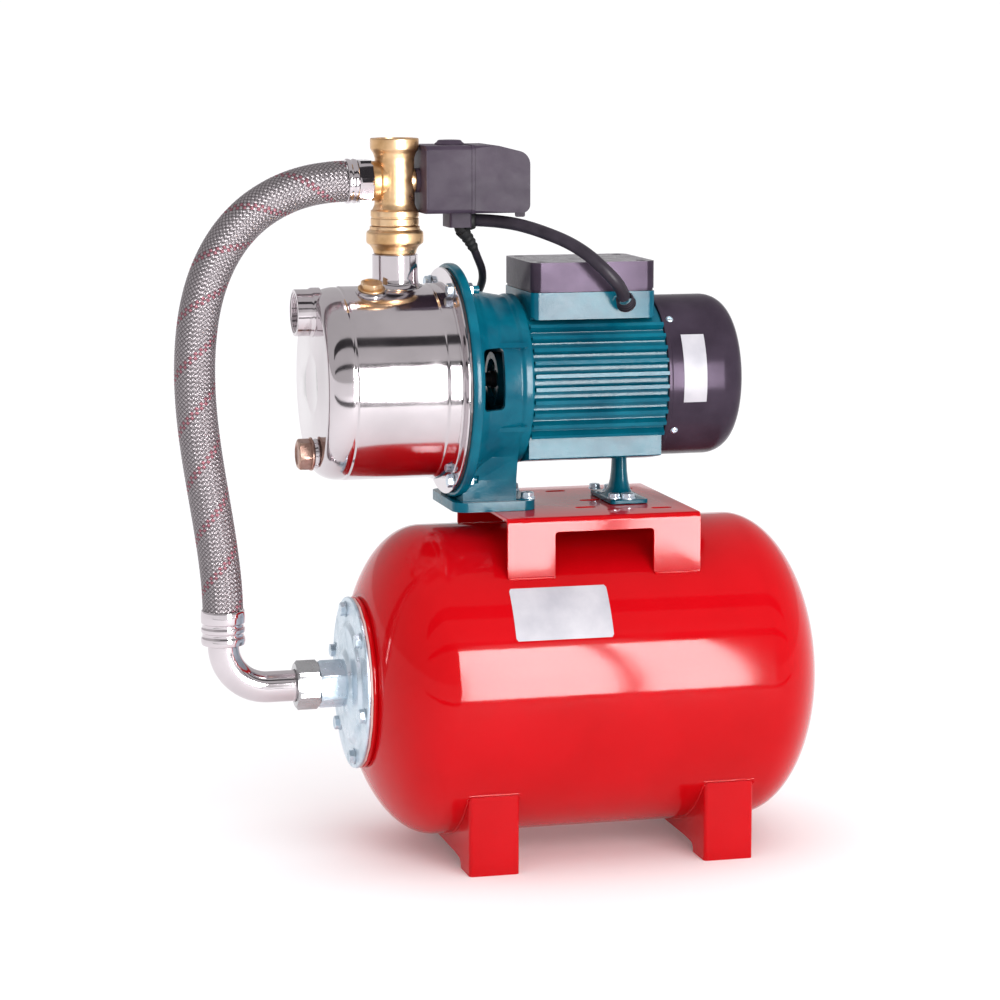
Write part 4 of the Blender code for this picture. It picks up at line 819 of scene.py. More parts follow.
def bolt_holes():
    return [place_mesh(rod(-0.13, -0.10, 0.0034), (0, y, AXIS_Z + z)) for y, z in bolt_places()]


def thread_outline(start, end, crest, root, pitch):
    """Outline of a threaded length, from start to end, as rings between a crest and a root radius."""
    count = int(abs(end - start) / pitch)
    step = (end - start) / count
    points = []
    for i in range(count):
        points += [(start + step * (i + 0.1), crest), (start + step * (i + 0.6), root)]
    return points + [(end, crest)]


def build_casing():
    axis = (0, 0, AXIS_Z)
    inner_r, inner_front, flange_front = CASING_R - 0.0016, -0.234, CASING_FLANGE - 0.002
    shell = [(-0.236, 0), (-0.236, 0.0240), (-0.2363, 0.0255), (-0.236, 0.0270)]
    shell += arc((-0.2155, 0.070), (0.0205, 0.0125), 180, 90, 16)
    shell += [(-0.2145, 0.0824), (-0.2138, 0.0820), (-0.2130, 0.0820), (-0.2122, 0.0825),
              (-0.2115, CASING_R)]
    shell += rounded([(-0.145, CASING_R), (-0.136, CASING_R), (-0.1345, CASING_R + 0.0012),
                      (-0.124, CASING_R + 0.0012), (flange_front - 0.0005, CASING_R + 0.0018),
                      (flange_front, CASING_R + 0.004), (flange_front, 0.0975), (CASING_FLANGE, 0.0975),
                      (CASING_FLANGE, inner_r)], 0.0009, steps=4)
    shell += arc((-0.212, 0.069), (0.022, inner_r - 0.069), 90, 180, 8) + [(inner_front, 0)]
    joins, cuts = [], []
    neck = rounded([(0.4910, 0), (0.4910, 0.0250, 1), (0.4935, 0.0222), (0.4965, 0.0202), (0.5005, 0.0195),
                    (NECK_TOP, 0.0195), (NECK_TOP, 0)], 0.0012, steps=4)
    joins.append(place_mesh(turned(neck, "Z", 80, 0.07), (NECK_X, 0, 0)))
    socket = rounded([(-0.251, 0), (-0.251, 0.0200), (-0.2385, 0.0200), (-0.2365, 0.0212),
                      (-0.2290, 0.0212),
                      (-0.2290, 0)], 0.0008)
    joins.append(place_mesh(turned(socket, "X", 80, 0.05), (0, 0, SUCTION_Z)))
    boss = rounded([(-0.2390, 0), (-0.2390, 0.0120), (-0.2350, 0.0135, 1), (-0.2350, 0)], 0.0006)
    joins.append(place_mesh(turned(boss, "X", 64, 0.04), (0, DRAIN_Y, DRAIN_Z)))
    up = priming_direction()
    seat = rounded([(CASING_R - 0.004, 0), (CASING_R - 0.004, 0.0135, 1), (CASING_R + 0.0008, 0.0135),
                    (CASING_R + 0.0025, 0.0118), (CASING_R + 0.0025, 0)], 0.0006)
    joins.append(place_mesh(turned(seat, "Z", 64), (PRIMING_X, 0, AXIS_Z), up))
    bore = [(0.480, 0), (0.480, 0.0125), (0.5080, 0.0125)] + thread_outline(0.5082, 0.5212, 0.0163, 0.0171,
                                                                            0.0015)
    bore += [(0.5216, 0.0175), (0.53, 0.0180), (0.53, 0)]
    cuts.append(place_mesh(turned(bore, "Z", 80, 0.07), (NECK_X, 0, 0)))
    bore = [(-0.26, 0), (-0.26, 0.0178), (-0.2505, 0.0174)] + thread_outline(-0.2500, -0.2402, 0.0163,
                                                                             0.0171, 0.0015)
    bore += [(-0.2400, 0.0125), (-0.225, 0.0125), (-0.225, 0)]
    cuts.append(place_mesh(turned(bore, "X", 80, 0.05), (0, 0, SUCTION_Z)))
    hole = [(-0.245, 0), (-0.245, 0.0068), (-0.225, 0.0068), (-0.225, 0)]
    cuts.append(place_mesh(turned(hole, "X", 40, 0.04), (0, DRAIN_Y, DRAIN_Z)))
    cuts.append(place_mesh(rod(0.070, 0.095, 0.0068, 40, "Z"), (PRIMING_X, 0, AXIS_Z), up))
    cuts += bolt_holes()
    casing = solid("pump_casing_fine", place_mesh(turned(shell, "X", 192), axis), joins, cuts)
    show(casing, "stainless", replaces=("pump_casing",), smooth=32)

    ring = [(NECK_X + 0.0226 * math.cos(t),
             0.0226 * math.sin(t)) for t in [math.pi * i / 48 for i in range(96)]]
    bead = [(x, y, AXIS_Z + math.sqrt((CASING_R + 0.0002) ** 2 - y * y)) for x, y in ring]
    weld_bead("neck_weld", bead + bead[:1], 0.0007, "steel")

    plug = rounded([(-0.2325, 0), (-0.2325, 0.0064), (-0.2394, 0.0064, 1), (-0.2394, 0.0142),
                    (-0.2412, 0.0142),
                    (-0.2412, 0.0138, 1)], 0.0005)
    plug += [(-0.2412, 0.0136, "hex", 0.0130), (-0.2420, 0.0136, "hex", 0.0136),
             (-0.2500, 0.0136, "hex", 0.0136)]
    plug += [(-0.2512, 0.0136, "hex", 0.0128), (-0.2520, 0.0136, "hex", 0.0112), (-0.2524, 0.0092)]
    plug += [(-0.2512, 0.0080), (-0.2512, 0)]
    make("drain_plug_fine", place_mesh(turned(plug, "X", 96, 0.35), (0, DRAIN_Y, DRAIN_Z)), "bronze",
         replaces=("drain_plug",), smooth=30)
    top = CASING_R + 0.0028
    filler = rounded([(CASING_R - 0.003, 0), (CASING_R - 0.003, 0.0064), (top, 0.0064, 1), (top, 0.0116),
                      (top + 0.0015, 0.0116), (top + 0.0015, 0.0100, 1)], 0.0005)
    filler += [(top + 0.0015, 0.0098, "hex", 0.0094), (top + 0.0021, 0.0098, "hex", 0.0098)]
    filler += [(top + 0.0055, 0.0098, "hex", 0.0098), (top + 0.0063, 0.0098, "hex", 0.0090),
               (top + 0.0065, 0.0070)]
    filler += [(top + 0.0058, 0.0060), (top + 0.0058, 0)]
    make("priming_plug_fine", place_mesh(turned(filler, "Z", 72), (PRIMING_X, 0, AXIS_Z), up), "brass",
         replaces=("priming_plug",), smooth=30)

    for number, (y, z) in enumerate(bolt_places(), 1):
        seat = (flange_front - 0.0003, y, AXIS_Z + z)
        head = place_mesh(bolt_head(0.0060, 0.0042, 0.0009), seat, (-1, 0, 0))
        shank = place_mesh(turned([(0, 0), (0, 0.0029)] + thread_outline(0.008, 0.0178, 0.0030, 0.0026,
                                                                         0.0009)
                                  + [(0.0183, 0.0024), (0.0183, 0)], "Z", 32), seat, (1, 0, 0))
        make(f"casing_bolt_{number}_fine", merged(head, shank), "zinc", replaces=(f"casing_bolt_{number}",),
             smooth=30)
        nut = place_mesh(hex_nut(0.0060, 0.0042, 0.0030), (-0.1099, y, AXIS_Z + z), (1, 0, 0))
        make(f"casing_nut_{number}", nut, "zinc", smooth=30)


def priming_direction():
    a = math.radians(PRIMING_TILT)
    return (0, -math.sin(a), math.cos(a))


# ---------------------------------------------------------------- motor
def build_bracket():
    axis, rear = (0, 0, AXIS_Z), FRAME_FRONT - 0.0003
    outer = rounded([
        (BRACKET_FACE, 0), (BRACKET_FACE, 0.1010), (-0.1100, 0.1010), (-0.1085, 0.0915), (-0.0985, 0.0815),
        (-0.0860, 0.0755), (-0.0690, 0.0725), (-0.0665, 0.0738), (rear, 0.0738), (rear, 0)], 0.0028,
                    steps=5)
    cavity = [(-0.13, 0), (-0.13, 0.0800), (-0.1085, 0.0800), (-0.0985, 0.0745), (-0.0860, 0.0690),
              (-0.0665, 0.0655)]
    cavity += [(-0.0665, 0.0235), (-0.0780, 0.0235), (-0.0780, 0.0178), (-0.05, 0.0178), (-0.05, 0)]
    low = PLATE_TOP
    leg = [(-0.040, low + 0.004), (0.040, low + 0.004), (0.041, 0.330), (0.046, 0.350), (0.056, 0.366)]
    leg += [(-0.056, 0.366), (-0.046, 0.350), (-0.041, 0.330)]
    joins = [prism(leg, "X", -0.1135, -0.0665)]
    sole = rounded_rectangle((-0.1220, -0.047), (-0.0490, 0.047), 0.012, steps=10)
    joins.append(prism(sole, "Z", low + 0.0003, low + 0.0085))
    for y in (-0.0330, 0.0200):
        boss = turned(rounded([(low + 0.004, 0), (low + 0.004, 0.0085), (low + 0.0092, 0.0080),
                               (low + 0.0092, 0)],
                              0.0006), "Z", 40)
        joins.append(place_mesh(boss, (-0.0575, y, 0)))
    ribs = []
    for turn in (-62, 62, 118, -118):
        rib = box((-0.1100, -0.0022, 0.070), (-0.0640, 0.0022, 0.0765))
        ribs.append(place_mesh(rotated(rib, math.radians(turn), "X"), axis))
    window = rounded_rectangle((-0.1060, AXIS_Z - 0.018), (-0.0850, AXIS_Z + 0.034), 0.004)
    cuts = [place_mesh(turned(cavity, "X", 128), axis), prism(window, "Y", -0.12, 0.12)]
    cuts += bolt_holes()
    bracket = solid("motor_bracket_fine", place_mesh(turned(outer, "X", 160), axis), joins + ribs, cuts)
    show(bracket, "teal_paint", replaces=("motor_bracket",), bevel=0.0009, smooth=40)


def fin_outline():
    """The frame's section: flat-topped fins on both flanks, smooth on top, a flat keel underneath."""
    fins, pitch, first = 10, 8.7, 48
    half = [(0, FRAME_R), (8, FRAME_R), (16, FRAME_R), (24, FRAME_R), (32, FRAME_R), (40, FRAME_R)]
    for fin in range(fins):
        middle = first + fin * pitch
        half += [(middle - 2.6, FRAME_R), (middle - 1.9, FRAME_R + 0.0005),
                 (middle - 1.45, FRAME_R + 0.0022)]
        half += [(middle - 1.2, FIN_R), (middle + 1.2, FIN_R)]
        half += [(middle + 1.45, FRAME_R + 0.0022), (middle + 1.9, FRAME_R + 0.0005),
                 (middle + 2.6, FRAME_R)]
    half += [(131.5, FRAME_R), (141.0, 0.0819), (142.0, 0.0818), (164.1, 0.0731)]
    outline = half + [(180, 0.0703)] + [(360 - angle, radius) for angle, radius in half[:0:-1]]
    return [(r * math.sin(math.radians(a)), r * math.cos(math.radians(a))) for a, r in outline]


def build_motor():
    axis = (0, 0, AXIS_Z)
    bore = rod(-0.07, 0.07, 0.0628, 96)
    frame_mesh = place_mesh(prism(fin_outline(), "X", FRAME_FRONT, FRAME_REAR), axis)
    body = solid("motor_frame_fine", frame_mesh, cuts=[place_mesh(bore, axis)])
    show(body, "teal_paint", replaces=("motor_frame",), smooth=35)

    start = FRAME_REAR + 0.0003
    shield = rounded([(start, 0.0676), (0.0650, 0.0676), (0.0650, 0.0240), (0.0678, 0.0240),
                      (0.0678, 0.0088),
                      (0.0664, 0.0088), (0.0664, 0.0178), (0.0545, 0.0178), (0.0545, 0.0232),
                      (start, 0.0232)],
                     0.0005, closed=True)
    make("rear_end_shield_fine", place_mesh(turned(shield, "X", 128), axis), "teal_paint",
         replaces=("rear_end_shield",))

    cover = rounded([(0.0610, 0.0680), (0.0610, 0.0707), (0.0645, 0.0707), (0.0650, 0.0700)], 0.0006)
    cover += arc((0.1100, 0.0500), (0.0220, 0.0200), 90, 0, 16)
    cover += [(0.1320, 0.012), (0.1312, 0.0105), (0.1312, 0), (0.1294, 0)]
    cover += arc((0.1100, 0.0500), (0.0200, 0.0180), 0, 90, 10)
    slits = []
    for ring, count, low, high in ((0, 24, 0.0330, 0.0500), (1, 16, 0.0165, 0.0300)):
        for slit in range(count):
            half_width = 0.0019
            outline = rounded_rectangle((-half_width, low), (half_width, high), half_width * 0.98, steps=4)
            bar = prism(outline, "X", 0.120, 0.145)
            slits.append(rotated(bar, 2 * math.pi * slit / count, "X"))
    slits = [place_mesh(merged(*slits), axis)]
    hood = solid("fan_cover_fine", place_mesh(turned(cover, "X", 160), axis), cuts=slits)
    show(hood, "plum_gloss", replaces=("fan_cover",), smooth=35)
    for number, (x, y, z) in enumerate(((0.0680, -0.0470, 0.0535), (0.0700, -0.0565, -0.0430),
                                        (0.0680, 0.0470, 0.0535),
                                        (0.0700, 0.0565, -0.0430)), 1):
        out = Vector((0, y, z)).normalized()
        place = Vector((x, 0, AXIS_Z)) + out * 0.0701
        add_screw(f"fan_cover_screw_{number}", place, out, 0.0034, 0.0016, "zinc")
    angles = (math.radians(-14), math.radians(35))
    add_label("rating_label", 8, 24, 0.0746, 0.0205, angles, 0.0700 + 0.0003, AXIS_Z)

    pedestal = rounded([(PLATE_TOP + 0.0030, 0), (PLATE_TOP + 0.0030, 0.0165), (0.3076, 0.0135),
                        (0.3095, 0.0110),
                        (0.3135, 0.0090), (0.3200, 0.0075), (0.3280, 0.0066), (0.3414, 0.0060),
                        (0.3414, 0)],
                       0.0012, steps=4)
    column = turned(pedestal, "Z", 64)
    bmesh.ops.scale(column, vec=(1, 1.75, 1), verts=column.verts)
    base = rounded_rectangle((-0.0170, -0.034), (0.0170, 0.034), 0.004, steps=8)
    support = solid("motor_support_foot_fine", prism(base, "Z", PLATE_TOP + 0.0003, PLATE_TOP + 0.0040),
                    [column])
    support.location.x = 0.0375
    show(support, "teal_paint", replaces=("motor_support_foot",), bevel=0.0006, smooth=40)
    for number, y in enumerate((-0.0265, 0.0265), 1):
        head = place_mesh(bolt_head(0.0062, 0.0042, 0.0009), (0.0375, y, PLATE_TOP + 0.0040))
        make(f"support_foot_bolt_{number}", head, "zinc")


# ---------------------------------------------------------------- terminal box
def build_terminal_box():
    low, high, joint = (-0.0555, -0.052), (0.0540, 0.043), 0.4900
    axis = (0, 0, AXIS_Z)
    saddle = rod(-0.08, 0.08, FRAME_R + 0.0004, 192)
    tray = box((-0.0520, -0.0485, 0.4838), (0.0505, 0.0395, 0.52))
    base = solid("terminal_box_base_fine", prism(rounded_rectangle(low, high, 0.006, steps=8), "Z", 0.4670,
                                                 joint),
                 cuts=[place_mesh(saddle, axis), tray, fin_clearance()])
    show(base, "teal_paint", replaces=("terminal_box_base",), bevel=0.0007, smooth=40)
    outline = rounded_rectangle(low, high, 0.008, steps=10)
    bm = prism(outline, "Z", joint + 0.0003, 0.5155)
    top_edges = [e for e in bm.edges if all(v.co.z > 0.515 for v in e.verts)]
    bmesh.ops.bevel(bm, geom=top_edges, offset=0.0095, segments=12, profile=0.5, affect="EDGES")
    room = box((-0.0480, -0.0445, 0.48), (0.0465, 0.0355, 0.5090))
    step = prism(rounded_rectangle((low[0] - 0.004, low[1] - 0.004), (high[0] + 0.004, high[1] + 0.004),
                                   0.011), "Z",
                 joint - 0.002, joint + 0.0022)
    core = prism(rounded_rectangle((low[0] + 0.0008, low[1] + 0.0008), (high[0] - 0.0008, high[1] - 0.0008),
                                   0.0072),
                 "Z", joint - 0.003, joint + 0.004)
    wells = []
    corners = [(low[0] + 0.0105, low[1] + 0.0105), (high[0] - 0.0105, low[1] + 0.0105),
               (high[0] - 0.0105, high[1] - 0.0105), (low[0] + 0.0105, high[1] - 0.0105)]
    for x, y in corners:
        wells.append(place_mesh(rod(0.5140, 0.53, 0.0042, 32, "Z"), (x, y, 0)))
    cover = solid("terminal_box_cover_fine", bm, cuts=[room, solid_mesh(step, [core])] + wells)
    show(cover, "plum_gloss", replaces=("terminal_box_cover",), smooth=30)
    for number, (x, y) in enumerate(corners, 1):
        add_screw(f"terminal_cover_screw_{number}", (x, y, 0.5138), (0, 0, 1), 0.0032, 0.0013, "zinc")

    boot = rounded([(0, 0), (0, 0.0105, 1), (0.0050, 0.0105), (0.0065, 0.0090), (0.0100, 0.0090),
                    (0.0108, 0.0084),
                    (0.0240, 0.0070), (0.0240, 0)], 0.0007)
    rings = []
    nut = [(-0.001, 0.006), (-0.001, 0.0118, "hex", 0.0112), (0.0002, 0.0118, "hex", 0.0118)]
    nut += [(0.0042, 0.0118, "hex", 0.0118), (0.0052, 0.0118, "hex", 0.0108), (0.0052, 0.006)]
    for i in range(4):
        z = 0.0125 + 0.0026 * i
        radius = 0.0084 - 0.00028 * i
        rings.append(turned(rounded([(z, 0.006), (z, radius), (z + 0.0014, radius - 0.0001),
                                     (z + 0.0014, 0.006)],
                                    0.0004, closed=True), "Z", 40))
    gland_mesh = place_mesh(merged(turned(boot, "Z", 56), turned(nut, "Z", 72), *rings), LEAD_GLAND,
                            LEAD_GLAND_DIRECTION)
    wall = box((0.0, -0.0520, 0.44), (0.07, -0.02, 0.52))
    make("motor_cable_gland_fine", gland_mesh, "black_plastic", replaces=("motor_cable_gland",),
         cuts=[wall])


def fin_clearance():
    ring = [(-0.08, FRAME_R + 0.0004), (-0.08, FIN_R + 0.0004), (0.08, FIN_R + 0.0004),
            (0.08, FRAME_R + 0.0004)]
    half = math.radians(39)
    wedge = [(0.2 * math.sin(half), 0.2 * math.cos(half)), (0, 0),
             (-0.2 * math.sin(half), 0.2 * math.cos(half))]
    return place_mesh(solid_mesh(turned(ring, "X", 96), [prism(wedge, "X", -0.09, 0.09)]), (0, 0, AXIS_Z))


# ---------------------------------------------------------------- brass fittings and hose ends
def build_fittings():
    middle, joint = (NECK_X, 0, 0), 0.5455
    body = [(0.5085, 0.0115), (0.5085, 0.0160)] + thread_outline(0.5092, 0.5222, 0.0166, 0.0159, 0.0015)
    body += rounded([(0.5224, 0.0166), (0.5224, 0.0180), (0.5255, 0.0186), (0.5290, 0.0207),
                     (0.5312, 0.0240),
                     (0.5330, 0.0244), (0.5395, 0.0244), (0.5412, 0.0238), (0.5420, 0.0222),
                     (0.5428, 0.0218)],
                    0.0012, steps=5)
    body += rounded([(0.5430, 0.0214), (joint, 0.0214), (joint, 0.0166), (0.5350, 0.0166),
                     (0.5350, 0.0115)], 0.0005)
    make("check_valve_body_fine", place_mesh(turned(body, "Z", 120, 0.26), middle), "brass",
         replaces=("check_valve_body",), smooth=30)

    outline = rounded([
        (joint + 0.0003, 0), (joint + 0.0003, 0.0200), (0.5470, 0.0205), (0.5520, 0.0205), (0.5525, 0.0199),
        (0.5533, 0.0199), (0.5538, 0.0205), (0.5588, 0.0205), (0.5596, 0.0190), (0.5640, 0.0172),
        (0.6030, 0.0168),
        (0.6075, 0.0182), (0.6110, 0.0207), (0.6200, 0.0207), (0.6200, 0)], 0.0011, steps=4)
    arm = rounded([(-0.165, 0), (-0.165, 0.0158), (-0.1760, 0.0158), (-0.1775, 0.0168), (-0.1840, 0.0168),
                   (-0.1842, 0.0150)], 0.0008) + thread_outline(-0.1845, -0.1930, 0.0150, 0.0143, 0.0014)
    arm += [(-0.1932, 0.0140), (-0.1932, 0)]
    boss = rounded([(-0.165, 0), (-0.165, 0.0110), (SWITCH_X[0] - 0.0040, 0.0110),
                    (SWITCH_X[0] - 0.0040, 0)], 0.0008)
    gauge = (NECK_X, 0, PORT_Z)
    gauge_boss = rounded([(0.002, 0), (0.002, 0.0100), (0.0255, 0.0100), (0.0255, 0)], 0.0007)
    joins = [place_mesh(turned(arm, "X", 72, 0.03), (0, 0, PORT_Z)),
             place_mesh(turned(boss, "X", 64), (0, 0, PORT_Z)),
             place_mesh(turned(gauge_boss, "Y", 64), gauge)]
    bore = [(0.54, 0), (0.54, 0.0166), (0.5600, 0.0166), (0.5600, 0.0115), (0.6020, 0.0115),
            (0.6020, 0.0160)]
    bore += thread_outline(0.6030, 0.6180, 0.0155, 0.0162, 0.0015) + [(0.6190, 0.0166), (0.63, 0.0172),
                                                                      (0.63, 0)]
    cuts = [place_mesh(turned(bore, "Z", 80), middle)]
    for radius, start, end, direction, place in (
            (0.0110, -0.20, -0.165, "X", (0, 0, PORT_Z)), (0.0048, -0.165, -0.13, "X", (0, 0, PORT_Z)),
            (0.0060, 0, 0.03, "Y", gauge)):
        cuts.append(place_mesh(rod(start, end, radius, 48, direction), place))
    manifold = solid("manifold_fine", place_mesh(turned(outline, "Z", 112, 0.01), middle), joins, cuts)
    show(manifold, "brass", replaces=("manifold",), smooth=32)
    plug = [(0.0130, 0), (0.0130, 0.0056), (0.0258, 0.0056), (0.0258, 0.0085, "hex", 0.0080)]
    plug += [(0.0263, 0.0085, "hex", 0.0085), (0.0304, 0.0085, "hex", 0.0085),
             (0.0310, 0.0085, "hex", 0.0078)]
    plug += [(0.0310, 0.0045), (0.0302, 0.0040), (0.0302, 0)]
    make("gauge_port_plug_fine", place_mesh(turned(plug, "Y", 72), gauge), "brass",
         replaces=("gauge_port_plug",),
         smooth=30)


def tube_bend(path):
    """A bent tube in the X-Z plane; path holds (x, z, direction in degrees, outer radius, inner radius)."""
    bm = bmesh.new()
    walls = ([], [])
    for x, z, heading, outer, inner in path:
        a = math.radians(heading)
        across = Vector((-math.sin(a), 0, math.cos(a)))
        for rings, radius in zip(walls, (outer, inner)):
            angles = [2 * math.pi * step / 48 for step in range(48)]
            rings.append([bm.verts.new(Vector((x, radius * math.sin(b), z)) + across * radius * math.cos(b))
                          for b in angles])
    pairs = [(first, second) for rings in walls for first, second in zip(rings, rings[1:])]
    pairs += [(walls[0][end], walls[1][end]) for end in (0, -1)]
    for first, second in pairs:
        bridge(bm, first, second)
    return bm


def build_hose_ends():
    nut = [(-0.1843, 0.0154), (-0.1843, 0.0205, "hex", 0.0186), (-0.1856, 0.0205, "hex", 0.0205)]
    nut += [(-0.1948, 0.0205, "hex", 0.0205), (-0.1962, 0.0205, "hex", 0.0184), (-0.1962, 0.0141)]
    nut += [(-0.1948, 0.0141), (-0.1948, 0.0154)]
    make("hose_upper_nut_fine", place_mesh(turned(nut, "X", 120, 0.5), (0, 0, PORT_Z)), "stainless",
         replaces=("hose_upper_nut",), smooth=25)
    sleeve = rounded([(-0.1935, 0.0105), (-0.1935, 0.0150), (-0.1945, 0.0150), (-0.1945, 0.0138),
                      (-0.1965, 0.0138),
                      (-0.1965, 0.0184), (-0.1990, 0.0190), (-0.2010, 0.0180), (-0.2030, 0.0190),
                      (-0.2052, 0.0190),
                      (-0.2058, 0.0182), (-0.2058, 0.0172), (-0.2050, 0.0105)], 0.0006, closed=True)
    make("hose_upper_ferrule_fine", place_mesh(turned(sleeve, "X", 96), (0, 0, PORT_Z)), "stainless",
         replaces=("hose_upper_ferrule",), smooth=30)
    nut = [(-0.2333, 0.0154), (-0.2333, 0.0214, "hex", 0.0192), (-0.2350, 0.0214, "hex", 0.0214)]
    nut += [(-0.2516, 0.0214, "hex", 0.0214), (-0.2534, 0.0214, "hex", 0.0190), (-0.2534, 0.0141)]
    nut += [(-0.2506, 0.0141), (-0.2506, 0.0154)]
    make("hose_swivel_nut_fine", place_mesh(turned(nut, "X", 120, 0.18), (0, 0, TANK_Z)), "steel",
         replaces=("hose_swivel_nut",), smooth=25)
    corner = ELBOW_X + ELBOW_BEND
    outer, inner = 0.0135, 0.0112
    path = [(-0.2488, 0, 180, 0.0151, inner), (-0.2503, 0, 180, 0.0151, inner),
            (-0.2503, 0, 180, outer, inner)]
    path += [(-0.2545, 0, 180, outer, inner), (-0.2548, 0, 180, 0.0139, inner),
             (-0.2556, 0, 180, 0.0139, inner)]
    path += [(-0.2560, 0, 180, outer, inner)]
    for i in range(25):
        a = 90 * i / 24
        x, z = corner - ELBOW_BEND * math.sin(math.radians(a)), ELBOW_BEND * (1 - math.cos(math.radians(a)))
        path.append((x, z, 180 - a, outer, inner))
    path.append((ELBOW_X, 0.0640, 90, outer, inner))
    make("hose_elbow_fine", place_mesh(tube_bend(path), (0, 0, TANK_Z)), "stainless",
         replaces=("hose_elbow",),
         smooth=30)
    crimp = rounded([
        (0.1895, 0.0138), (0.1895, 0.0158), (0.1906, 0.0186), (0.1935, 0.0192), (0.1965, 0.0190),
        (0.1978, 0.0180),
        (0.2004, 0.0178), (0.2016, 0.0189), (0.2046, 0.0191), (0.2058, 0.0180), (0.2084, 0.0178),
        (0.2096, 0.0190),
        (0.2150, 0.0192), (0.2188, 0.0189), (0.2203, 0.0184), (0.2203, 0.0174), (0.2190, 0.0138)],
        0.0006, closed=True, steps=4)
    make("hose_lower_ferrule_fine", place_mesh(turned(crimp, "Z", 96), (ELBOW_X, 0, 0)), "stainless",
         replaces=("hose_lower_ferrule",), smooth=30)


# ---------------------------------------------------------------- pressure switch
def build_switch():
    low_z, high_z = SWITCH_Z
    left, right = SWITCH_X
    half = SWITCH_HALF
    section = rounded_rectangle((-half, low_z), (half, high_z), 0.004, steps=8)
    bm = prism(section, "X", left, SWITCH_JOINT)
    edges = [e for e in bm.edges if all(v.co.x < left + 0.0001 for v in e.verts)]
    bmesh.ops.bevel(bm, geom=edges, offset=0.0022, segments=5, profile=0.5, affect="EDGES")
    snout = rounded_rectangle((-0.1180, -0.014), (-0.0986, 0.014), 0.002)
    joins = [prism(snout, "Z", 0.5440, low_z - 0.0003),
             prism(rounded_rectangle((-0.1170, -0.013), (SWITCH_JOINT, 0.013), 0.002), "Z", 0.5450,
                   low_z + 0.002)]
    socket = rounded([(left - 0.0037, 0), (left - 0.0037, 0.0105), (left + 0.004, 0.0105),
                      (left + 0.004, 0)], 0.0006)
    joins.append(place_mesh(turned(socket, "X", 64), (0, 0, PORT_Z)))
    knob = rounded([(high_z - 0.002, 0), (high_z - 0.002, 0.0130), (high_z + 0.0012, 0.0128),
                    (high_z + 0.0020, 0.0112),
                    (high_z + 0.0040, 0.0098), (high_z + 0.0042, 0.0060), (high_z + 0.0042, 0)], 0.0012,
                   steps=4)
    joins.append(place_mesh(turned(knob, "Z", 72), (-0.1150, 0, 0)))
    flange = rounded_rectangle((-half - 0.0006, low_z - 0.0006), (half + 0.0006, high_z + 0.0006), 0.0044,
                               steps=8)
    joins.append(prism(flange, "X", SWITCH_JOINT - 0.0026, SWITCH_JOINT))
    cuts = [box((left + 0.003, -half + 0.0025, low_z + 0.0025),
                (SWITCH_JOINT + 0.01, half - 0.0025, high_z - 0.0025))]
    hole = rod(-0.15, left + 0.01, 0.0048)
    cuts.append(place_mesh(hole, (0, 0, PORT_Z)))
    base = solid("switch_base_fine", bm, joins, cuts)
    show(base, "plum_plastic", replaces=("switch_base",), bevel=0.0003, smooth=32)

    outline = [(SWITCH_JOINT + 0.0003, low_z)] + arc((right - 0.007, low_z + 0.007), (0.007, 0.007), 270,
                                                     360, 12)
    outline += arc((right - 0.012, high_z - 0.0165), (0.012, 0.012), 0, 78, 14)
    outline += [(-0.0790, high_z - 0.0003), (-0.0820, high_z), (SWITCH_JOINT + 0.0003, high_z)]
    bm = prism(outline, "Y", -half, half)
    edges = [e for e in bm.edges if abs(e.verts[0].co.y - e.verts[1].co.y) < 1e-6
             and not all(v.co.x < SWITCH_JOINT + 0.0005 for v in e.verts)]
    bmesh.ops.bevel(bm, geom=edges, offset=0.0024, segments=6, profile=0.5, affect="EDGES")
    space = [(SWITCH_JOINT - 0.01, low_z + 0.0030), (right - 0.0030, low_z + 0.0030),
             (right - 0.0030, high_z - 0.0170)]
    space += [(right - 0.0100, high_z - 0.0085), (-0.0800, high_z - 0.0030),
              (SWITCH_JOINT - 0.01, high_z - 0.0030)]
    space = prism(space, "Y", -half + 0.0030, half - 0.0030)
    cover = solid("switch_cover_fine", bm, cuts=[space])
    show(cover, "plum_plastic", replaces=("switch_cover",), smooth=32)
    tab = rounded_rectangle((-0.0640, low_z - 0.0035), (-0.0555, low_z + 0.0030), 0.0015)
    make("switch_cover_tab", prism(tab, "Y", -half + 0.0020, -half + 0.0045), "plum_plastic", bevel=0.0004)
    for number, y in enumerate((-0.021, 0.021), 1):
        add_screw(f"switch_cover_screw_{number}", (right, y,
                                                   (low_z + high_z) / 2 - 0.0045 + 0.011 * (1 - 2 * (y > 0))),
                  (1, 0, 0), 0.0030, 0.0012, "zinc")
    for number, (x, y, direction, radius) in enumerate((
            (-0.0990, -0.0043, (1, -0.35, 0), 0.0072), (-0.1035, 0.0042, (0.35, 0.2, -1), 0.0052)), 1):
        z = 0.5498 if number == 1 else 0.5437
        collar = rounded([(-0.002, 0.002), (-0.002, radius + 0.0012), (0.0022, radius + 0.0012),
                          (0.0052, radius),
                          (0.0058, radius - 0.0008), (0.0058, 0.002)], 0.0005, closed=True)
        make(f"switch_cable_grommet_{number}", place_mesh(turned(collar, "Z", 48), (x, y, z), direction),
             "rubber")


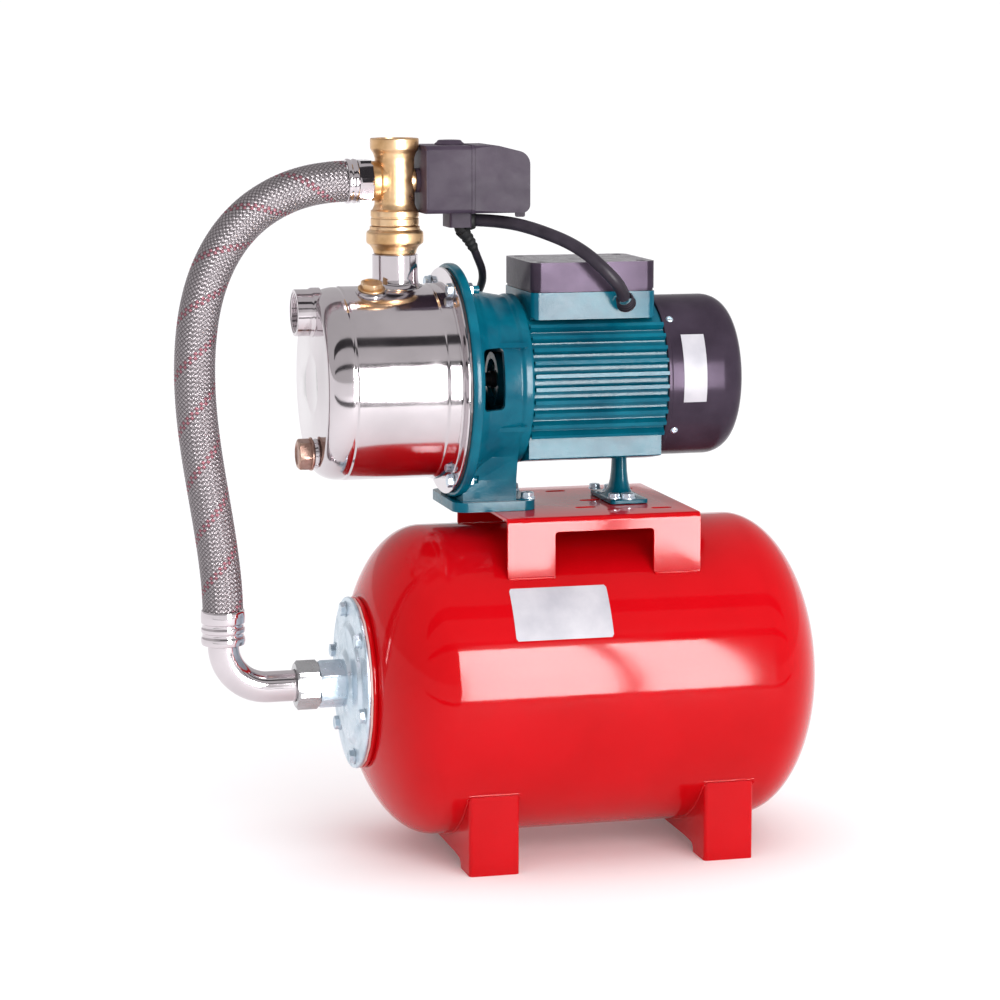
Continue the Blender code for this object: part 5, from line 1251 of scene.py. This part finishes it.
# ---------------------------------------------------------------- springs
def build_springs():
    """Round wire springs with closed ends; on the real set they shorten as the poppet lifts and as the lever
    tips.
    """
    middle_z = sum(SWITCH_Z) / 2
    for name, joint, x, radius, wire, bottom, top, turns, keep in (
            ("check_valve_spring", "poppet_lift", NECK_X, 0.0128, 0.0005, 0.5380, 0.5590, 5.5,
             1 - 0.0060 / 0.0210),
            ("range_spring", "plunger_travel", -0.1060, 0.0055, 0.0006, middle_z + 0.0056,
             SWITCH_Z[1] - 0.0028, 6,
             0.84)):
        points = []
        for i in range(round(turns * 28) + 1):
            turn = i / 28
            share = min(max((turn - 0.7) / (turns - 1.4), 0), 1)
            angle = 2 * math.pi * turn
            height = bottom + wire + (top - bottom - 2 * wire) * share
            points.append((x + radius * math.cos(angle), radius * math.sin(angle), height))
        spring = make(name + "_fine", tube_mesh(points, wire, 12), "steel", replaces=(name,), smooth=60)
        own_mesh(spring)


# ---------------------------------------------------------------- mains plug
def build_plug():
    body = rounded([(0.0, 0), (0.0, 0.0046, 1), (0.0200, 0.0060), (0.0260, 0.0120), (0.0340, 0.0178),
                    (0.0480, 0.0178), (0.0520, 0.0168), (0.0522, 0)], 0.0035, steps=6)
    rings = []
    for i in range(6):
        x = 0.0022 + 0.0027 * i
        radius = 0.0054 + 0.00019 * i
        rings.append(turned(rounded([(x, 0.003), (x, radius), (x + 0.0015, radius), (x + 0.0015, 0.003)],
                                    0.0004,
                                    closed=True), "X", 40))
    grips = []
    for i in range(5):
        for side in (-1, 1):
            x = 0.0350 + 0.0026 * i
            grips.append(box((x, side * 0.0172 - 0.0010, -0.0075),
                             (x + 0.0012, side * 0.0172 + 0.0010, 0.0075)))
    pins = []
    for side in (-1, 1):
        pin = rounded([(0.050, 0), (0.050, 0.0024), (0.0705, 0.0024), (0.0715, 0.0016), (0.0715, 0)],
                      0.0008)
        pins.append(place_mesh(turned(pin, "X", 32), (0, side * 0.0095, 0)))
    place = (COIL_MIDDLE[0] - 0.0325, COIL_MIDDLE[1] + COIL_R, 0.0181)
    half_turn = Matrix.Rotation(math.pi, 4, "Z")
    shell = place_mesh(merged(turned(body, "X", 72), *rings, *grips), place, turn=half_turn)
    plug = make("mains_plug_fine", shell, "black_plastic", replaces=("mains_plug",), smooth=35)
    prongs = make("mains_plug_pins", place_mesh(merged(*pins), place, turn=half_turn), "steel")
    return [plug, prongs]


# ---------------------------------------------------------------- hose and cables
HOSE_ROUTE = [(x, 0, z) for x, z in (
    (-0.2060, 0.5840), (-0.2200, 0.5832), (-0.2370, 0.5806), (-0.2545, 0.5754), (-0.2712, 0.5675),
    (-0.2868, 0.5569), (-0.3003, 0.5438), (-0.3114, 0.5288), (-0.3203, 0.5122), (-0.3270, 0.4945),
    (-0.3317, 0.4760), (-0.3346, 0.4572), (-0.3362, 0.4380), (-0.3366, 0.4188), (-0.3360, 0.3995),
    (-0.3345, 0.3800), (-0.3322, 0.3600), (-0.3294, 0.3400), (-0.3263, 0.3200), (-0.3232, 0.3000),
    (-0.3203, 0.2800), (-0.3178, 0.2600), (-0.3160, 0.2400), (-0.3152, 0.2204),
)]
LEAD_ROUTE = [
    (-0.0950, -0.0043, 0.5498), (-0.0880, -0.0090, 0.5497), (-0.0765, -0.0185, 0.5490),
    (-0.0650, -0.0290, 0.5474), (-0.0536, -0.0395, 0.5444), (-0.0415, -0.0495, 0.5399),
    (-0.0295, -0.0590, 0.5345), (-0.0195, -0.0665, 0.5285), (-0.0105, -0.0725, 0.5215),
    (-0.0030, -0.0772, 0.5142), (0.0042, -0.0797, 0.5068), (0.0110, -0.0788, 0.4996),
    (0.0165, -0.0740, 0.4930), (0.0206, -0.0672, 0.4868),
]
CORD_ROUTE = [
    (-0.1035, 0.0042, 0.5408), (-0.0985, 0.0068, 0.5355),
    (-0.0916, 0.0110, 0.5256), (-0.0856, 0.0170, 0.5147), (-0.0806, 0.0240, 0.5056),
    (-0.0776, 0.0330, 0.4968), (-0.0768, 0.0430, 0.4890), (-0.0774, 0.0545, 0.4800),
    (-0.0778, 0.0680, 0.4650), (-0.0765, 0.0815, 0.4400), (-0.0730, 0.0945, 0.4050),
    (-0.0680, 0.1050, 0.3650), (-0.0620, 0.1150, 0.3250), (-0.0550, 0.1250, 0.2850),
    (-0.0475, 0.1345, 0.2400), (-0.0390, 0.1430, 0.1950), (-0.0290, 0.1490, 0.1500),
    (-0.0185, 0.1525, 0.1050), (-0.0080, 0.1545, 0.0620), (0.0040, 0.1560, 0.0290),
    (0.0180, 0.1572, 0.0110), (0.0340, 0.1582, 0.0042), (0.0520, 0.1586, 0.0038),
]


def coil_route():
    """Three and a half turns: one outside, one inside, the rest on top of them and then up into the plug."""
    points = []
    steps = 126
    for i in range(steps + 1):
        turn = 3.5 * i / steps
        angle = math.radians(-90 + 360 * turn)
        radius = COIL_R + 0.0036 - 0.0072 * eased(turn, 0.86, 0.99) + 0.0036 * eased(turn, 1.62, 1.85)
        height = 0.0038 + 0.0062 * eased(turn, 1.62, 1.85) + 0.0071 * eased(turn, 2.50, 2.85)
        height += 0.0010 * eased(turn, 2.85, 3.3)
        points.append((COIL_MIDDLE[0] + radius * math.cos(angle), COIL_MIDDLE[1] + radius * math.sin(angle),
                       height))
    x, y, height = points[-1]
    return points + [(x - 0.008, y, height), (x - 0.017, y, height), (x - 0.026, y, height),
                     (x - 0.0350, y, height)]


def coil_tie(angle):
    """A flat strap round all the turns, with its lock on top."""
    outward = Vector((math.cos(angle), math.sin(angle), 0))
    along = Vector((-outward.y, outward.x, 0))
    place = Vector((*COIL_MIDDLE, 0)) + outward * COIL_R
    low, high = (-0.0078, 0.0001), (0.0078, 0.0142)
    outer = rounded_rectangle(low, high, 0.0050, steps=8)
    inner = rounded_rectangle((low[0] + 0.0007, low[1] + 0.0007), (high[0] - 0.0007, high[1] - 0.0007),
                              0.0044, steps=8)
    bm = bmesh.new()
    rings = [[bm.verts.new(place + outward * a + along * side + Vector((0, 0, b))) for a, b in outline]
             for outline, side in ((outer, -0.0018), (outer, 0.0018), (inner, 0.0018), (inner, -0.0018))]
    for first, second in zip(rings, rings[1:] + rings[:1]):
        bridge(bm, first, second)
    lock = place_mesh(box((-0.0028, -0.0024, 0.0136), (0.0028, 0.0024, 0.0166)),
                      turn=Matrix.Rotation(angle, 4, "Z"))
    return merged(bm, place_mesh(lock, place))


def eased(value, start, end):
    """0 before start, 1 after end and a smooth rise between."""
    share = min(max((value - start) / (end - start), 0), 1)
    return share * share * (3 - 2 * share)


def braid_mesh(route, radius):
    """A woven sleeve on a diagonal lattice: each cell is one strand's pillow, passing over its neighbours."""
    bm = bmesh.new()
    weave = bm.loops.layers.uv.new("weave")
    length = route_length(route)
    frames = []
    normal = Vector((0, 1, 0))
    travelled = 0.0
    for i, point in enumerate(route):
        ahead, behind = route[min(i + 1, len(route) - 1)], route[max(i - 1, 0)]
        if i:
            travelled += (route[i] - route[i - 1]).length
        frames.append((travelled, point, (ahead - behind).normalized()))

    def locate(distance, angle, height):
        distance = min(max(distance, 0), length)
        index = min(int(distance / length * (len(route) - 1)), len(route) - 2)
        start, point, tangent = frames[index]
        after, next_point, next_tangent = frames[index + 1]
        share = (distance - start) / (after - start)
        centre = point.lerp(next_point, share)
        heading = tangent.lerp(next_tangent, share).normalized()
        side = heading.cross(normal)
        return centre + (normal * math.cos(angle) + side * math.sin(angle)) * (radius + height)

    rows = round(length / BRAID_PITCH) * 2
    fine = BRAID_DIVISIONS
    around = BRAID_CARRIERS * 2 * fine
    total_rows = rows * fine
    grid = []
    # Fine rows step along the hose; alternate fine columns are used, so the faces are diamonds.
    for row in range(total_rows + 1):
        ring = []
        for column in range(row % 2, around, 2):
            a = (row + column) / (2 * fine)
            b = (column - row) / (2 * fine)
            s, t = a % 1, b % 1
            rise = (math.sin(math.pi * s) * math.sin(math.pi * t)) ** 0.5
            angle = 2 * math.pi * column / around
            distance = length * row / total_rows
            ring.append(bm.verts.new(locate(distance, angle, (rise - 1) * BRAID_PILLOW)))
        grid.append(ring)
    half = around // 2
    for row in range(1, total_rows):
        offset = row % 2
        for k in range(half):
            column = 2 * k + offset
            left, right = grid[row][k], grid[row][(k + 1) % half]
            middle = (column + 1) // 2 if offset else k
            below, above = grid[row - 1][middle % half], grid[row + 1][middle % half]
            face = bm.faces.new((left, below, right, above))
            a = (row + column + 1) / (2 * fine)
            b = (column + 1 - row) / (2 * fine)
            over_first = (math.floor(a) + math.floor(b)) % 2 == 0
            across, along = (b % 1, a % 1) if over_first else (a % 1, b % 1)
            step = 0.5 / fine
            offsets = ((-1, 0), (0, -1), (1, 0), (0, 1))
            for loop, (da, db) in zip(face.loops, offsets):
                ca = (da + db) * step
                cb = (da - db) * step
                first, second = (cb, ca) if over_first else (ca, cb)
                loop[weave].uv = (across + first, along + second)
            strand = math.floor(b) if over_first else math.floor(a)
            tracer = over_first and strand % BRAID_CARRIERS in (3, 4, 15, 16)
            face.material_index = 1 if tracer else 0
            face.smooth = True
    return bm


def make_braid_material(name, colours, roughness):
    """Wires lying side by side in each strand, with painted shade in the gaps between wires and strands and a
    painted highlight along each wire's crest.
    """
    material = bpy.data.materials.new(name)
    material.use_nodes = True
    tree = material.node_tree
    shader = tree.nodes["Principled BSDF"]
    place = add_node(tree, "ShaderNodeUVMap", uv_map="weave").outputs["UV"]
    parts = add_node(tree, "ShaderNodeSeparateXYZ", {"Vector": place})
    wires = add_node(tree, "ShaderNodeMath", {0: parts.outputs["X"], 1: 7 * math.pi}, operation="MULTIPLY")
    ridge = add_node(tree, "ShaderNodeMath", {0: wires.outputs[0]}, operation="SINE")
    ridge = add_node(tree, "ShaderNodeMath", {0: ridge.outputs[0]}, operation="ABSOLUTE").outputs[0]
    edge = None
    for axis in ("X", "Y"):
        off = add_node(tree, "ShaderNodeMath", {0: parts.outputs[axis], 1: 0.5},
                       operation="SUBTRACT").outputs[0]
        off = add_node(tree, "ShaderNodeMath", {0: off}, operation="ABSOLUTE").outputs[0]
        fade = add_range(tree, off, 1, 0, 0.36, 0.5)
        if edge is None:
            edge = fade
        else:
            edge = add_node(tree, "ShaderNodeMath", {0: edge, 1: fade}, operation="MULTIPLY").outputs[0]
    # The base colour is painted light: painted shade where wires meet and strands dip under, painted highlight
    # along each wire's crest.
    painted_light = add_node(tree, "ShaderNodeMath", {0: ridge, 1: edge}, operation="MULTIPLY").outputs[0]
    tree.links.new(add_ramp(tree, painted_light, [(0.0, colours[0]), (0.45, colours[1]), (1.0, colours[2])]),
                   shader.inputs["Base Color"])
    shader.inputs["Metallic"].default_value = 0.85
    patches = add_noise(tree, 60, 3)
    tree.links.new(add_range(tree, patches, *roughness), shader.inputs["Roughness"])
    links = {"Strength": 0.6, "Distance": 0.0003, "Height": ridge}
    tree.links.new(add_node(tree, "ShaderNodeBump", links).outputs["Normal"], shader.inputs["Normal"])
    return material


def build_cords():
    route = [point + STAND for point in smooth_route(HOSE_ROUTE, 0.003)]
    hose = raw_braid("braided_hose_sleeve", route)
    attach(hose, "unit")
    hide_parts("braided_hose")
    lead_points = smooth_route(LEAD_ROUTE, 0.003)
    lead = show(curve_cord("motor_lead_cable", lead_points, LEAD_R), "black_plastic",
                replaces=("motor_lead",))
    points = smooth_route(CORD_ROUTE + [(0.0690, 0.1562, 0.0038)] + coil_route()[1:], 0.0035)
    cord = show(curve_cord("mains_cable", points, CORD_R), "black_plastic",
                replaces=("mains_cord", "mains_coil"))
    sleeve = smooth_route(CORD_ROUTE, 0.0012)[:20]
    ridged = [0.0060 - 0.00008 * i - (0.0006 if i % 4 > 1 and i > 3 else 0) for i in range(20)]
    make("mains_strain_relief", tube_mesh(sleeve, ridged, 24), "rubber", smooth=50)
    for number, angle in enumerate((-70, 200), 1):
        make(f"coil_tie_{number}", coil_tie(math.radians(angle)), "black_plastic")
    build_plug()


def raw_braid(name, route):
    bm = braid_mesh(route, HOSE_R)
    mesh = bpy.data.meshes.new(name)
    bm.to_mesh(mesh)
    bm.free()
    mesh.materials.append(MATERIALS["braid"])
    mesh.materials.append(MATERIALS["braid_tracer"])
    return add_object(name, mesh)


# Each colour list runs from the painted shade in the gaps to the painted highlight on the wire crests.
MATERIALS["braid"] = make_braid_material(
    "braid", [(0.07, 0.060, 0.065), (0.28, 0.25, 0.265), (0.50, 0.46, 0.475)], (0.30, 0.44))
MATERIALS["braid_tracer"] = make_braid_material(
    "braid_tracer", [(0.06, 0.02, 0.03), (0.30, 0.10, 0.13), (0.45, 0.22, 0.25)], (0.35, 0.50))

set_camera()
set_studio()
build_cords()

# ---------------------------------------------------------------- CAD nodes that keep their shape
# The shaft and seal plate, seen through the bracket's window, take steel darkened as painted shade.
KEPT = {"tank_membrane": "butyl", "shaft": "steel_painted_shade", "seal_plate": "steel_painted_shade"}
for entry in frame["record"]["subparts"]:
    node = frame["nodes"][entry["node"]]
    node.data.materials.clear()
    node.data.materials.append(MATERIALS[KEPT.get(entry["node"], entry["material_slot"])])
for build in (build_tank, build_feet, build_platform, build_casing, build_bracket, build_motor,
              build_terminal_box, build_fittings, build_hose_ends, build_switch, build_springs):
    build()

# ---------------------------------------------------------------- light linking of the brass
def spare_brass():
    """Links the key's halves to all but the brass, and brass_key to it, though its reflection shows on all."""
    brass = [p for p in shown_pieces()
             if p.type == "MESH" and any(m and m.name == "brass" for m in p.data.materials)]
    for group, link_state, names in (("not_brass", "EXCLUDE", ("key_left_half", "key_right_half")),
                                     ("brass_only", "INCLUDE", ("brass_key",))):
        collection = bpy.data.collections.new(group)
        for piece in brass:
            collection.objects.link(piece)
        for member in collection.collection_objects:
            member.light_linking.link_state = link_state
        for name in names:
            bpy.data.objects[name].light_linking.receiver_collection = collection


spare_brass()
